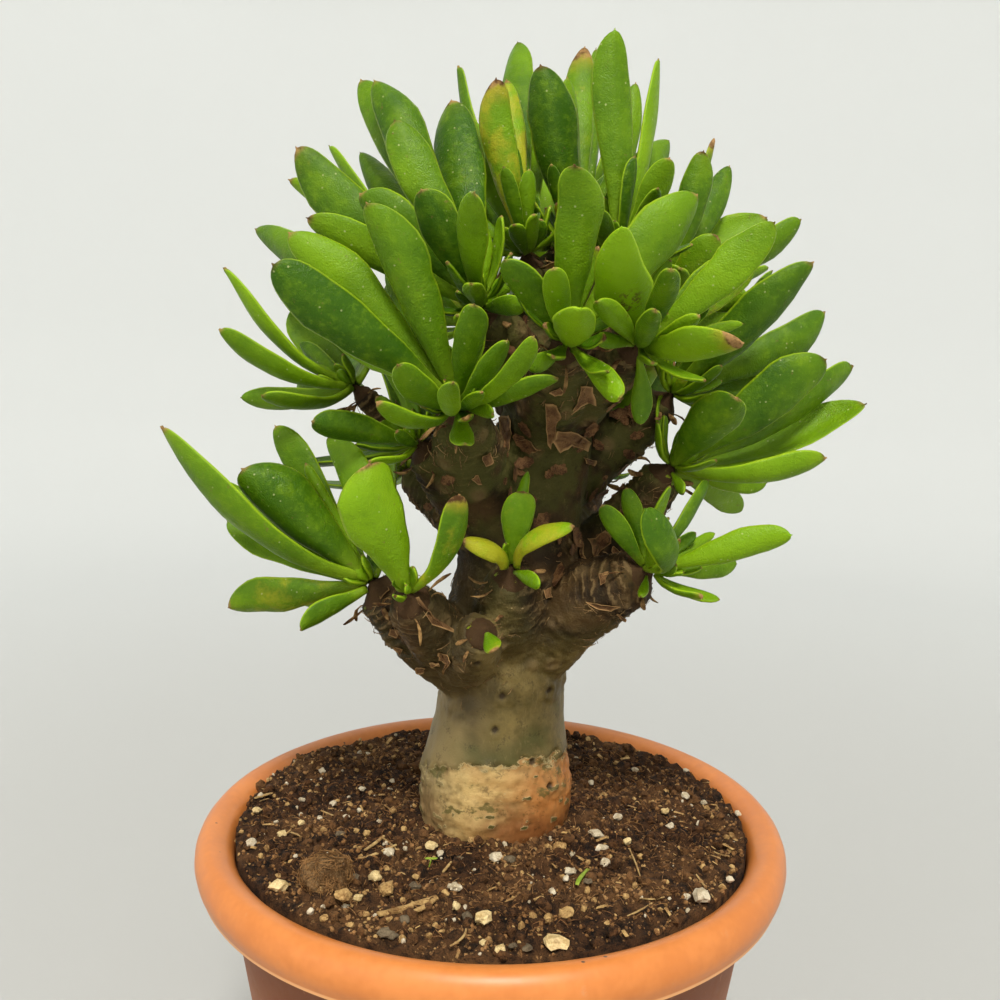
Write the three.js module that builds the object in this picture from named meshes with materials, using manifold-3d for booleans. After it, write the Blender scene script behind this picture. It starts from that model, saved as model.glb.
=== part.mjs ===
// A butter tree, a caudex succulent with a swollen trunk and fleshy paddle leaves, in a round plastic pot.
// Millimetres, +Z up. The origin is the centre of the pot's flat base, and the plant's front faces -Y.
import * as THREE from 'three';
import Module from 'manifold-3d';
import { mergeVertices } from 'three/addons/utils/BufferGeometryUtils.js';

const wasm = await Module();
wasm.setup();
const { Manifold } = wasm;

// Driving dimensions
const POT_RADIUS = 125; // over the rolled rim
const POT_HEIGHT = 190;
const WALL = 3;
const SEAT_GAP = 0.3; // between pieces that rest on each other
const SOIL_TOP = POT_HEIGHT - 3;
const ROOT_DEPTH = 55; // how far the caudex goes down into the soil
const POT_SIDES = 40;
const LIMB_SIDES = 7;
const LIMB_SPANS = 4; // about how many straight lengths make up a limb
const CAUDEX_SIDES = 13;
const GOLDEN_ANGLE = THREE.MathUtils.degToRad(137.508);

// The standpoint of the photograph. Where a piece shows in it, its place is given as it is seen: across and
// down the 1000 pixel picture, and the distance in millimetres that it stands ahead of the trunk's middle.
const EYE = new THREE.Vector3(0, -418, POT_HEIGHT + 190);
const EYE_DOWN = THREE.MathUtils.degToRad(7.3);
const EYE_ASIDE = THREE.MathUtils.degToRad(0.17);
const EYE_ROLL = THREE.MathUtils.degToRad(1.02);
const PICTURE_FOCUS = 1000;
const PICTURE_MIDDLE = 500;

const sightLine = new THREE.Vector3(
  Math.sin(EYE_ASIDE) * Math.cos(EYE_DOWN), Math.cos(EYE_ASIDE) * Math.cos(EYE_DOWN), -Math.sin(EYE_DOWN));
const levelRight = sightLine.clone().cross(new THREE.Vector3(0, 0, 1)).normalize();
const levelUp = levelRight.clone().cross(sightLine);
const pictureRight = levelRight.clone().multiplyScalar(Math.cos(EYE_ROLL))
  .addScaledVector(levelUp, Math.sin(EYE_ROLL));
const pictureUp = levelUp.clone().multiplyScalar(Math.cos(EYE_ROLL))
  .addScaledVector(levelRight, -Math.sin(EYE_ROLL));

// The point seen at a pixel, where that line of sight passes `ahead` millimetres in front of the trunk.
function seen(across, down, ahead) {
  const ray = sightLine.clone()
    .addScaledVector(pictureRight, (across - PICTURE_MIDDLE) / PICTURE_FOCUS)
    .addScaledVector(pictureUp, (PICTURE_MIDDLE - down) / PICTURE_FOCUS);
  return EYE.clone().addScaledVector(ray, (-ahead - EYE.y) / ray.y);
}

// The trunk: [across, down, ahead, radius] from the soil to the crown.
const TRUNK = [
  [493, 822, 0, 32.5], [494, 800, 0, 33.5], [496, 772, 0, 33.5], [498, 742, 0, 31], [500, 715, 0, 28],
  [501, 690, 0, 27], [505, 655, 0, 27], [511, 620, 0, 27.5], [516, 580, 0, 27], [521, 535, 0, 25.5],
  [530, 490, -3, 23.5], [542, 445, -5, 21], [552, 405, -5, 18.5], [558, 375, -5, 14.5],
];

// The branches, [across, down, ahead, radius] from the trunk to the tip, each under its shoot's name.
const LIMBS = {
  low_left: [[500, 668, 2, 19], [462, 655, 10, 17.5], [425, 629, 20, 15.5], [382, 592, 27, 12]],
  low_left_side: [[440, 640, 26, 13], [424, 620, 42, 11.5], [412, 602, 55, 9]],
  left_knob: [[462, 658, 22, 13], [474, 645, 40, 11], [482, 634, 49, 8]],
  front_knob: [[508, 640, 8, 18], [509, 608, 25, 14.5], [511, 578, 36, 9.5]],
  low_right: [[528, 648, 4, 18.5], [566, 614, 16, 16.5], [603, 591, 24, 14.5], [638, 576, 31, 11]],
  right: [[545, 590, -5, 16], [590, 555, -12, 14], [632, 516, -8, 12], [663, 476, 0, 9]],
  dark_right: [[548, 490, -8, 15], [592, 462, -22, 13], [634, 430, -22, 10.5], [662, 403, -14, 8]],
  left_mid: [[518, 550, 4, 17], [480, 508, 14, 14.5], [448, 472, 22, 12.5], [428, 452, 28, 9.5]],
  left: [[470, 492, 0, 12], [430, 455, -6, 8], [392, 421, -6, 6.5], [363, 395, 0, 5]],
  left_crown: [[512, 560, 6, 18], [484, 500, 16, 16.5], [468, 450, 32, 14], [459, 413, 48, 9.5]],
  front_crown: [[545, 425, 6, 16], [557, 385, 32, 12.5], [566, 350, 56, 8]],
  right_crown: [[560, 415, 2, 15], [597, 380, 26, 12], [632, 351, 48, 8]],
  upper_left: [[545, 410, 0, 15], [518, 362, 16, 12.5], [487, 315, 34, 8]],
  top_left: [[556, 385, -4, 14], [543, 325, 4, 11.5], [529, 268, 12, 8]],
  top: [[560, 375, -8, 14], [570, 320, -10, 11.5], [577, 268, -8, 8]],
  top_right: [[562, 375, 0, 13], [590, 325, 12, 11], [612, 272, 22, 8]],
  right_upper: [[562, 395, -10, 14], [608, 350, -8, 11.5], [650, 308, -2, 8]],
  back_left: [[545, 430, -10, 15], [508, 375, -38, 12], [478, 330, -62, 8.5]],
  back_middle: [[550, 420, -14, 16], [552, 362, -48, 12.5], [549, 308, -76, 8.5]],
  back_right: [[556, 425, -12, 15], [605, 375, -40, 12], [636, 336, -64, 8.5]],
  back_top: [[558, 390, -12, 14], [558, 320, -34, 11], [552, 262, -46, 8]],
  back_low_left: [[505, 560, -12, 15], [455, 512, -34, 12], [412, 478, -48, 7.5]],
  back_low_right: [[535, 560, -16, 16], [570, 515, -48, 12.5], [592, 478, -68, 8.5]],
};

// The leaves that show, under the shoot that bears them:
// [tip across, tip down, tip ahead, width, face, bow]. Face 0 shows the whole underside and 180 the whole
// upper side, and in between the upper side looks towards the right of the way that the leaf points.
// Bow is how far the midrib arches towards the underside, as a share of the leaf's length.
const LEAVES = {
  low_left: [
    [159, 430, 45, 19, 44, 0.15], [207, 478, 24, 16, 140, 0.08], [255, 459, 52, 21, 10, 0.06],
    [280, 425, 14, 14, 30, 0.04], [226, 605, 24, 16, 20, 0.03], [300, 629, 44, 12, 40, 0.03],
    [303, 606, 34, 6, 30, 0.03], [378, 545, 14, 8, 0, 0.05], [302, 466, 34, 6, 20, 0.04],
  ],
  low_left_side: [[357, 471, 82, 23, 5, 0.08], [460, 496, 74, 13, -55, 0.13], [338, 432, 36, 14, 10, 0.04]],
  left_knob: [[494, 651, 68, 7, 0, 0.05]],
  front_knob: [
    [463, 541, 56, 10, -50, 0.22], [522, 492, 48, 12.5, 5, 0.05], [526, 471, 30, 5, 20, 0.1],
    [573, 526, 56, 10, 50, 0.2], [537, 584, 64, 6, -10, 0.02],
  ],
  low_right: [
    [603, 505, 42, 9, 20, 0.08], [626, 488, 34, 8, 10, 0.04], [644, 512, 66, 14, -50, 0.3],
    [789, 531, 48, 12, -20, 0.06], [738, 562, 24, 12, -10, 0.05], [655, 528, 34, 6, 0, 0.05],
    [641, 596, 50, 4, 0, 0.02], [708, 481, 14, 7, -50, 0.05], [713, 533, 18, 5, -10, 0.02],
  ],
  right: [
    [738, 399, 42, 19, -15, 0.08], [823, 354, 18, 21, -20, 0.06], [857, 366, -14, 16, -30, 0.06],
    [861, 402, 10, 18, -145, 0.12], [826, 461, 28, 15, -55, 0.13], [766, 480, -18, 12, -20, 0.08],
    [684, 494, 16, 5, -20, 0.02], [745, 432, -22, 14, -30, 0.05], [738, 510, -32, 12, -10, 0.05],
  ],
  dark_right: [
    [808, 259, 26, 19, -20, 0.12], [781, 294, 4, 11, -20, 0.06], [832, 323, -26, 17, -12, 0.05],
    [770, 268, -34, 7, -50, 0.05], [722, 368, 12, 6, -40, 0.1], [700, 345, -44, 12, -10, 0.05],
  ],
  left_mid: [[313, 424, 44, 13, 25, 0.05], [303, 467, 12, 12, 100, 0.03]],
  left: [
    [227, 269, 14, 12, 66, 0.14], [218, 334, 26, 13, 50, 0.12], [263, 398, 34, 13, 75, 0.14],
    [243, 401, -12, 11, 30, 0.03], [296, 388, -20, 10, 20, 0.03], [298, 345, -12, 8, 20, 0.04],
  ],
  left_crown: [
    [297, 225, 66, 18, 8, 0.05], [269, 271, 88, 18.5, 12, 0.06], [299, 278, 50, 12, 110, 0.04],
    [272, 257, 34, 12, 20, 0.05], [258, 221, 22, 14, 15, 0.06], [393, 368, 92, 11, 40, 0.14],
    [375, 404, 78, 9, 65, 0.2], [491, 415, 72, 6, -20, 0.01], [464, 445, 72, 9, 0, 0.01],
    [554, 376, 86, 11, -60, 0.1], [499, 369, 70, 6, -70, 0.15], [540, 341, 92, 8, -45, 0.12],
    [477, 306, 84, 11, 0, 0.04], [378, 200, 72, 17, 8, 0.05], [469, 350, 62, 6, -20, 0.05],
    [427, 333, 56, 6, 30, 0.1], [481, 392, 74, 6, -30, 0.08], [385, 261, 40, 12, 10, 0.05],
    [508, 342, 88, 8, -20, 0.1], [448, 378, 92, 8, 30, 0.12], [330, 330, 40, 12, 20, 0.05],
  ],
  front_crown: [
    [590, 166, 92, 16, 0, 0.03], [578, 312, 104, 14.5, 0, 0.1], [506, 262, 88, 12, 12, 0.05],
    [545, 288, 76, 7, 30, 0.12], [524, 300, 66, 6, 10, 0.05],
    [619, 399, 84, 9, -10, 0.02], [699, 194, 60, 19.5, -8, 0.08], [554, 268, 84, 9, -5, 0.08],
    [528, 368, 84, 7, 30, 0.08], [632, 262, 56, 12, -8, 0.05],
  ],
  right_crown: [
    [610, 234, 94, 19.5, 0, 0.07], [772, 223, 66, 15, -12, 0.06], [641, 424, 50, 8, -10, 0.02],
    [738, 335, 98, 15, -35, 0.14], [652, 312, 94, 8, -10, 0.08], [676, 272, 78, 9, -15, 0.06],
    [598, 300, 94, 8, 10, 0.08], [698, 316, 86, 7, -50, 0.1], [742, 324, 54, 7, -50, 0.05],
    [597, 339, 78, 6, 0, 0.02],
  ],
  upper_left: [
    [292, 159, 34, 18, 10, 0.05], [293, 173, 12, 11, 20, 0.04], [328, 147, -6, 9, 60, 0.05],
    [360, 147, -10, 12, 10, 0.04], [312, 210, 50, 13, 15, 0.05], [366, 187, 56, 17, 8, 0.06],
    [424, 190, 66, 15, 5, 0.06], [361, 76, 2, 16, 12, 0.05], [386, 70, 24, 18, 8, 0.05],
    [392, 121, 42, 16, 12, 0.06], [442, 102, 34, 20, 8, 0.05], [473, 192, 76, 12, 40, 0.08],
    [448, 262, 72, 6, 60, 0.03], [478, 225, 54, 9, 20, 0.03], [521, 305, 68, 8, -30, 0.05],
    [498, 300, 60, 6, 10, 0.03], [470, 282, 78, 8, 10, 0.05], [508, 280, 66, 7, -10, 0.05],
    [452, 210, 44, 11, 5, 0.05], [410, 250, 40, 12, 8, 0.05],
  ],
  top_left: [
    [452, 106, 2, 14, 12, 0.05], [484, 83, 20, 14, 8, 0.04], [453, 70, -22, 9, 40, 0.04],
    [501, 80, 8, 13, 5, 0.03], [517, 41, -20, 15, 3, 0.03], [515, 226, 40, 7, 10, 0.05],
    [541, 220, 34, 7, -10, 0.1], [504, 167, 34, 6, 5, 0.05], [514, 147, 20, 6, 5, 0.04],
    [530, 170, 28, 7, 0, 0.05],
  ],
  top: [
    [546, 64, 14, 20, 3, 0.04], [568, 80, -6, 9, -30, 0.05], [578, 44, -36, 13, 0, 0.04],
    [595, 51, -46, 8, -40, 0.04], [556, 203, 16, 4.5, 0, 0.05], [553, 235, 22, 5, 0, 0.05],
    [562, 226, 28, 7, 0, 0.05], [550, 165, 10, 6, 0, 0.03],
  ],
  top_right: [
    [604, 33, 30, 15, -3, 0.05], [637, 87, -2, 10, -12, 0.04], [659, 62, 12, 12, -52, 0.06],
    [637, 157, 24, 8, -60, 0.03], [666, 157, 48, 11, -25, 0.06], [665, 137, 6, 14, -8, 0.05],
    [660, 188, 50, 7, -20, 0.05], [598, 214, 54, 8, 5, 0.05], [626, 226, 62, 8, -5, 0.05],
  ],
  right_upper: [
    [706, 152, 8, 13, -10, 0.04], [717, 139, -10, 6, -50, 0.03], [729, 168, -20, 12, -15, 0.05],
    [718, 237, 16, 14, -12, 0.05], [682, 270, 30, 11, -10, 0.08], [770, 269, -30, 7, -50, 0.05],
    [748, 298, 8, 12, -20, 0.05], [804, 226, 10, 13, -30, 0.06],
  ],
};

// Leaves that the photograph hides, by rule: the most that each shoot gets on its far side.
const HIDDEN_LEAVES = {
  low_left: 3, right: 4, left_mid: 4, left: 3, left_crown: 4, right_crown: 5, upper_left: 5,
  top_left: 4, top: 4, top_right: 4, right_upper: 4, dark_right: 4, back_left: 9, back_middle: 10,
  back_right: 9, back_top: 8, back_low_left: 7, back_low_right: 8,
};
const TRIES_PER_LEAF = 9;
const HIDDEN_LENGTHS = [50, 86];
const HIDDEN_WIDTHS = [13, 19];
const HIDDEN_SPREAD = [THREE.MathUtils.degToRad(18), THREE.MathUtils.degToRad(96)];
const HIDDEN_BOW = 0.07;
const HIDDEN_LIFT = 0.22; // how strongly hidden leaves turn up towards the light
const HIDDEN_BACK = 0.2; // how far towards the back a hidden leaf points at the least
const HIDDEN_DROP = -0.2; // how far down one may point
const CROWN_MIDDLE = seen(548, 330, 0);
const CROWN_REACH = new THREE.Vector3(122, 134, 110);
const CROWN_SKIRT = 60; // below its middle by this much, the crown has no outline to keep

// Leaf shape
const LEAF_THICK = 3.4;
const LEAF_CUP = 0.11; // how far the edges rise over the midrib, as a share of the half width
const LEAF_WIDEST = 0.74; // where along its length a leaf is widest
const STALK_SHARE = 0.3; // the stalk's width, as a share of the leaf's
const BLUNT_SHARE = 0.36; // the width of the blunt tip, as a share of the leaf's
const STATIONS = [0, 0.3, 0.58, 0.84, 1];
const SMALL_STATIONS = [0, 0.4, 0.78, 1];
const SMALL_WIDTH = 13.5; // leaves narrower than this have fewer stations
const LEAST_THICK = 1.2;
const BEND_SHARE = 0.45; // where along its length a bowed leaf bends most

// Clearance between leaves, tested on balls along each blade
const BALL_RADIUS = 2.3;
const BALL_STEPS = 16;
const BALL_ROWS = [-0.9, -0.45, 0, 0.45, 0.9];
const SHARED_ROOT = 0.3; // leaves of one shoot may touch over this first share of their length
const SLIDE_STEP = 4;
const SLIDE_TRIES = 20;
const GRID = 14; // the cells that balls are sorted into, wider than any two balls' reach

// The same small random draw in any language: the minimal standard generator.
let drawn = 20011;
function draw() {
  drawn = (drawn * 16807) % 2147483647;
  return drawn / 2147483647;
}
const between = (low, high) => low + (high - low) * draw();

// A closed mesh from rings of points, each ring the same length, with a flat cap at either end.
function loft(rings) {
  const count = rings[0].length;
  const positions = rings.flat().flatMap((p) => [p.x, p.y, p.z]);
  const faces = [];
  for (let i = 0; i < rings.length - 1; i++) {
    for (let j = 0; j < count; j++) {
      const a = i * count + j;
      const b = i * count + ((j + 1) % count);
      faces.push(a, b, b + count, a, b + count, a + count);
    }
  }
  const last = (rings.length - 1) * count;
  for (let j = 1; j < count - 1; j++) faces.push(0, j + 1, j, last, last + j, last + j + 1);
  return new THREE.BufferGeometry()
    .setAttribute('position', new THREE.BufferAttribute(new Float32Array(positions), 3))
    .setIndex(faces);
}

// A three.js geometry as a manifold-3d solid, turned right side out if its rings ran the other way.
function solid(geometry) {
  const bare = geometry.clone();
  bare.deleteAttribute('normal');
  bare.deleteAttribute('uv');
  const merged = mergeVertices(bare, 1e-4);
  const triVerts = new Uint32Array(merged.index.array);
  const make = () => new Manifold(new wasm.Mesh({
    numProp: 3, vertProperties: new Float32Array(merged.attributes.position.array), triVerts,
  }));
  const made = make();
  if (made.volume() > 0) return made;
  for (let i = 0; i < triVerts.length; i += 3) triVerts.subarray(i, i + 3).reverse();
  return make();
}

// A manifold-3d solid as a three.js geometry. Only its largest body is kept.
function geometryOf(body) {
  const largest = body.decompose().reduce((a, b) => (b.volume() > a.volume() ? b : a));
  const { vertProperties, triVerts } = largest.getMesh();
  const geometry = new THREE.BufferGeometry()
    .setAttribute('position', new THREE.BufferAttribute(new Float32Array(vertProperties), 3))
    .setIndex(new THREE.BufferAttribute(new Uint32Array(triVerts), 1));
  geometry.computeVertexNormals();
  return geometry;
}

// Two unit vectors square to a direction.
function squareTo(direction) {
  const helper = Math.abs(direction.z) < 0.9 ? new THREE.Vector3(0, 0, 1) : new THREE.Vector3(1, 0, 0);
  const first = helper.cross(direction).normalize();
  return [first, direction.clone().cross(first)];
}

// A limb is a smooth line through its places, with a radius at each point.
function limbLine(places, perSpan) {
  const knots = places.map(([across, down, ahead]) => seen(across, down, ahead));
  const last = knots.length - 1;
  const slopes = knots.map((_, i) => {
    const [low, high] = [Math.max(i - 1, 0), Math.min(i + 1, last)];
    return knots[high].clone().sub(knots[low]).divideScalar(high - low);
  });
  const line = [];
  for (let i = 0; i < last; i++) {
    for (let j = i ? 1 : 0; j <= perSpan; j++) {
      const t = j / perSpan;
      const mix = (p, q, r, u) => knots[i].clone().multiplyScalar(p).addScaledVector(slopes[i], q)
        .addScaledVector(knots[i + 1], r).addScaledVector(slopes[i + 1], u);
      const [c, s] = [t ** 3, t ** 2];
      line.push({
        point: mix(2 * c - 3 * s + 1, c - 2 * s + t, 3 * s - 2 * c, c - s),
        along: mix(6 * s - 6 * t, 3 * s - 4 * t + 1, 6 * t - 6 * s, 3 * s - 2 * t).normalize(),
        radius: places[i][3] * (1 - t) + places[i + 1][3] * t,
      });
    }
  }
  return line;
}

// A tube along a limb's line. The first ring's sides are carried along without twist.
function tube(line, sides, grow = 0) {
  let [across] = squareTo(line[0].along);
  const rings = line.map(({ point, along, radius }) => {
    across = across.clone().addScaledVector(along, -across.dot(along)).normalize();
    const over = along.clone().cross(across);
    return Array.from({ length: sides }, (_, j) => {
      const angle = (2 * Math.PI * j) / sides;
      return point.clone()
        .addScaledVector(across, (radius + grow) * Math.cos(angle))
        .addScaledVector(over, (radius + grow) * Math.sin(angle));
    });
  });
  return solid(loft(rings));
}

// A leaf's outline: half its width at a share of its length, for a leaf of width 1.
function halfWidth(share) {
  if (share < LEAF_WIDEST) {
    const rise = Math.sin((Math.PI / 2) * (share / LEAF_WIDEST)) ** 2;
    return 0.5 * (STALK_SHARE + (1 - STALK_SHARE) * rise);
  }
  const past = (share - LEAF_WIDEST) / (1 - LEAF_WIDEST);
  return 0.5 * Math.max(BLUNT_SHARE, Math.sqrt(1 - past ** 2.8));
}

// Where the midrib is at a share of the leaf's length, with its upper side and the way its width runs.
function midrib(leaf, share) {
  const bend = leaf.root.clone().lerp(leaf.tip, BEND_SHARE)
    .addScaledVector(leaf.upper, -2 * leaf.bow * leaf.length);
  const point = leaf.root.clone().multiplyScalar((1 - share) ** 2)
    .addScaledVector(bend, 2 * share * (1 - share))
    .addScaledVector(leaf.tip, share ** 2);
  const along = bend.clone().sub(leaf.root).multiplyScalar(1 - share)
    .addScaledVector(leaf.tip.clone().sub(bend), share).normalize();
  const upper = leaf.upper.clone().addScaledVector(along, -leaf.upper.dot(along)).normalize();
  return { point, upper, wide: along.clone().cross(upper) };
}

// The blade: at each station a flat four-sided ring with its edges raised.
function blade(leaf) {
  const stations = leaf.width < SMALL_WIDTH ? SMALL_STATIONS : STATIONS;
  return solid(loft(stations.map((share) => {
    const { point, upper, wide } = midrib(leaf, share);
    const half = Math.max(halfWidth(share) * leaf.width, LEAST_THICK / 2);
    const thick = Math.max(LEAF_THICK * (1 - 0.45 * share), LEAST_THICK) / 2;
    const rise = LEAF_CUP * half * 2;
    return [
      point.clone().addScaledVector(wide, -half).addScaledVector(upper, rise),
      point.clone().addScaledVector(upper, thick),
      point.clone().addScaledVector(wide, half).addScaledVector(upper, rise),
      point.clone().addScaledVector(upper, -thick),
    ];
  })));
}

// A leaf springs from inside the shoot's growing tip, a little way out from the tip's middle.
const TIP_LENGTH = 9;
const ROOT_OUT = 3.7; // at the most
function leafFrom(shoot, tip, width, upper, bow) {
  const way = tip.clone().sub(shoot.middle);
  const out = Math.min(shoot.radius * 0.45, ROOT_OUT);
  const root = shoot.middle.clone().addScaledVector(way.clone().normalize(), out);
  const length = tip.distanceTo(root);
  const chord = tip.clone().sub(root).normalize();
  const square = upper.clone().addScaledVector(chord, -upper.dot(chord)).normalize();
  return { shoot: shoot.name, root, tip, width, upper: square, bow, length };
}

// The upper side of a leaf that is seen to point one way, turned by its face angle.
function upperSeen(root, tip, face) {
  const chord = tip.clone().sub(root).normalize();
  const toEye = EYE.clone().sub(root.clone().add(tip).multiplyScalar(0.5)).normalize();
  const right = chord.clone().cross(toEye).normalize();
  const away = chord.clone().cross(right).normalize();
  if (away.dot(toEye) > 0) away.negate();
  const angle = THREE.MathUtils.degToRad(face);
  return away.multiplyScalar(Math.cos(angle)).addScaledVector(right, Math.sin(angle));
}

// Everything already in place, as balls sorted into cells: [point, radius, owner, share of leaf's length].
const cells = new Map();
const cellOf = (p) => [Math.floor(p.x / GRID), Math.floor(p.y / GRID), Math.floor(p.z / GRID)];
function occupy(balls) {
  for (const ball of balls) {
    const key = cellOf(ball[0]).join();
    if (!cells.has(key)) cells.set(key, []);
    cells.get(key).push(ball);
  }
}

function ballsOf(leaf) {
  const made = [];
  for (let i = 1; i <= BALL_STEPS; i++) {
    const share = i / BALL_STEPS;
    const { point, upper, wide } = midrib(leaf, share);
    const half = halfWidth(share) * leaf.width;
    for (const row of half > BALL_RADIUS * 1.5 ? BALL_ROWS : [0]) {
      const rise = LEAF_CUP * half * 2 * Math.abs(row);
      const middle = point.clone().addScaledVector(wide, half * row).addScaledVector(upper, rise);
      made.push([middle, BALL_RADIUS, leaf.shoot, share]);
    }
  }
  return made;
}

// Whether a leaf's ball meets something already in place.
function meets([point, radius, owner, share]) {
  const [cx, cy, cz] = cellOf(point);
  for (let x = cx - 1; x <= cx + 1; x++) {
    for (let y = cy - 1; y <= cy + 1; y++) {
      for (let z = cz - 1; z <= cz + 1; z++) {
        for (const [other, otherRadius, otherOwner, otherShare] of cells.get([x, y, z].join()) ?? []) {
          if (owner === otherOwner && (share < SHARED_ROOT || otherShare < SHARED_ROOT)) continue;
          if (point.distanceTo(other) < radius + otherRadius) return true;
        }
      }
    }
  }
  return false;
}
const crossings = (leaf) => ballsOf(leaf).filter(meets).length;

// A leaf that shows keeps its tip on its line of sight, and slides nearer or further until it is clear.
function placeSeen(shoot, [across, down, ahead, width, face, bow]) {
  let best = null;
  for (let i = 0; i <= SLIDE_TRIES; i++) {
    const slide = Math.ceil(i / 2) * (i % 2 ? SLIDE_STEP : -SLIDE_STEP);
    const tip = seen(across, down, ahead + slide);
    const leaf = leafFrom(shoot, tip, width, upperSeen(shoot.middle, tip, face), bow);
    const count = crossings(leaf);
    if (!best || count < best.count) best = { leaf, count };
    if (count === 0) break;
  }
  return best.leaf;
}

// A hidden leaf follows the spiral round its shoot and points away from the front. One that would cross
// another leaf is left out.
function placeHidden(shoot, age, turn) {
  const spread = HIDDEN_SPREAD[0] + (HIDDEN_SPREAD[1] - HIDDEN_SPREAD[0]) * age + between(-0.12, 0.12);
  const width = between(...HIDDEN_WIDTHS);
  const longest = between(...HIDDEN_LENGTHS);
  const [first, second] = squareTo(shoot.axis);
  const way = shoot.axis.clone().multiplyScalar(Math.cos(spread))
    .addScaledVector(first, Math.sin(spread) * Math.cos(turn))
    .addScaledVector(second, Math.sin(spread) * Math.sin(turn));
  way.z += HIDDEN_LIFT;
  way.normalize();
  if (way.y < HIDDEN_BACK || way.z < HIDDEN_DROP) return null;
  for (const share of [1, 0.85, 0.7]) {
    const tip = shoot.middle.clone().addScaledVector(way, longest * share);
    const outside = tip.clone().sub(CROWN_MIDDLE).divide(CROWN_REACH).length() > 1;
    if (outside && tip.z > CROWN_MIDDLE.z - CROWN_SKIRT) continue;
    const leaf = leafFrom(shoot, tip, width * (0.5 + share / 2), shoot.axis, HIDDEN_BOW);
    if (crossings(leaf) === 0) return leaf;
  }
  return null;
}

// The growing tip that a shoot's leaves spring from: a short stub past the branch's cut end.
const TIP_SIDES = 6;
function tipStub(shoot) {
  const [first, second] = squareTo(shoot.axis);
  const ring = (distance, size) => Array.from({ length: TIP_SIDES }, (_, j) => {
    const angle = (2 * Math.PI * j) / TIP_SIDES;
    return shoot.end.clone().addScaledVector(shoot.axis, distance)
      .addScaledVector(first, size * Math.cos(angle)).addScaledVector(second, size * Math.sin(angle));
  });
  const { radius } = shoot;
  const sizes = [[SEAT_GAP, 0.95], [TIP_LENGTH * 0.7, 0.85], [TIP_LENGTH, 0.4]];
  const rings = sizes.map(([distance, share]) => ring(distance, radius * share));
  return solid(loft(rings));
}

// The caudex and all its branches are one grown body.
const rootEnd = seen(...TRUNK[0].slice(0, 3));
const trunkLine = limbLine(TRUNK, 1);
const ROOT_RADII = [[ROOT_DEPTH, 24], [ROOT_DEPTH / 2, 30]]; // at two depths under the soil's surface
const rootLine = ROOT_RADII.map(([depth, radius]) => (
  { point: new THREE.Vector3(rootEnd.x, 0, SOIL_TOP - depth), along: new THREE.Vector3(0, 0, 1), radius }));
const caudexLine = [...rootLine, ...trunkLine];
const limbLines = {};
for (const [name, places] of Object.entries(LIMBS)) {
  limbLines[name] = limbLine(places, Math.round(LIMB_SPANS / (places.length - 1)));
}

function trunkBody(grow) {
  const limbs = Object.values(limbLines).map((line) => tube(line, LIMB_SIDES, grow));
  return Manifold.union([tube(caudexLine, CAUDEX_SIDES, grow), ...limbs]);
}

// The wood as balls, every few millimetres along it.
const WOOD_STEP = 4;
function occupyWood() {
  for (const [owner, line] of [['trunk', caudexLine], ...Object.entries(limbLines)]) {
    for (let i = 1; i < line.length; i++) {
      const steps = Math.ceil(line[i].point.distanceTo(line[i - 1].point) / WOOD_STEP);
      for (let j = 0; j < steps; j++) {
        const share = (j + 0.5) / steps;
        const point = line[i - 1].point.clone().lerp(line[i].point, share);
        const radius = line[i - 1].radius * (1 - share) + line[i].radius * share;
        occupy(shell(point, line[i].along, radius - BALL_RADIUS, owner));
      }
    }
  }
}

// A ring of balls just under the bark.
const SHELL_SIDES = 10;
function shell(point, along, radius, owner) {
  const [first, second] = squareTo(along);
  return Array.from({ length: SHELL_SIDES }, (_, j) => {
    const angle = (2 * Math.PI * j) / SHELL_SIDES;
    const middle = point.clone().addScaledVector(first, radius * Math.cos(angle))
      .addScaledVector(second, radius * Math.sin(angle));
    return [middle, Math.max(BALL_RADIUS, radius * 0.35), owner, 1];
  });
}

// Every shoot with its leaves, those that show first.
function growShoots() {
  const shoots = Object.entries(limbLines).map(([name, line], index) => {
    const { point: end, along: axis, radius } = line[line.length - 1];
    const middle = end.clone().addScaledVector(axis, TIP_LENGTH * 0.5);
    return { name, end, axis, radius, middle, phase: index * 0.7, leaves: [] };
  });
  const take = (shoot, leaf) => {
    if (!leaf) return;
    shoot.leaves.push(leaf);
    occupy(ballsOf(leaf));
  };
  for (const shoot of shoots) {
    for (const leaf of LEAVES[shoot.name] ?? []) take(shoot, placeSeen(shoot, leaf));
  }
  for (const shoot of shoots) {
    const most = (HIDDEN_LEAVES[shoot.name] ?? 0) + shoot.leaves.length;
    const tries = (HIDDEN_LEAVES[shoot.name] ?? 0) * TRIES_PER_LEAF;
    for (let i = 0; i < tries && shoot.leaves.length < most; i++) {
      take(shoot, placeHidden(shoot, i / tries, i * GOLDEN_ANGLE + shoot.phase));
    }
  }
  return shoots;
}

// The pot: [radius, height] round the section, up the outside, over the rolled rim and down the inside.
const RIM_TOP = POT_HEIGHT;
const BASE_RADIUS = 84;
const BASE_THICK = 4;
const POT_OUTSIDE = [
  [0, 0], [BASE_RADIUS - 3, 0], [BASE_RADIUS, 3], [102.5, 115], [108.5, 150], [112.5, RIM_TOP - 15],
  [119.5, RIM_TOP - 15.5], [122, RIM_TOP - 17], [124.4, RIM_TOP - 14], [POT_RADIUS, RIM_TOP - 9],
  [123.3, RIM_TOP - 4], [120, RIM_TOP - 1], [115.5, RIM_TOP],
];
const POT_INSIDE = [
  [111.3, RIM_TOP - 1.2], [109.3, RIM_TOP - 4.5], [109, RIM_TOP - 16], [99.3, 115],
  [BASE_RADIUS - WALL, BASE_THICK + 2], [BASE_RADIUS - WALL - 3, BASE_THICK], [0, BASE_THICK],
];
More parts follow.
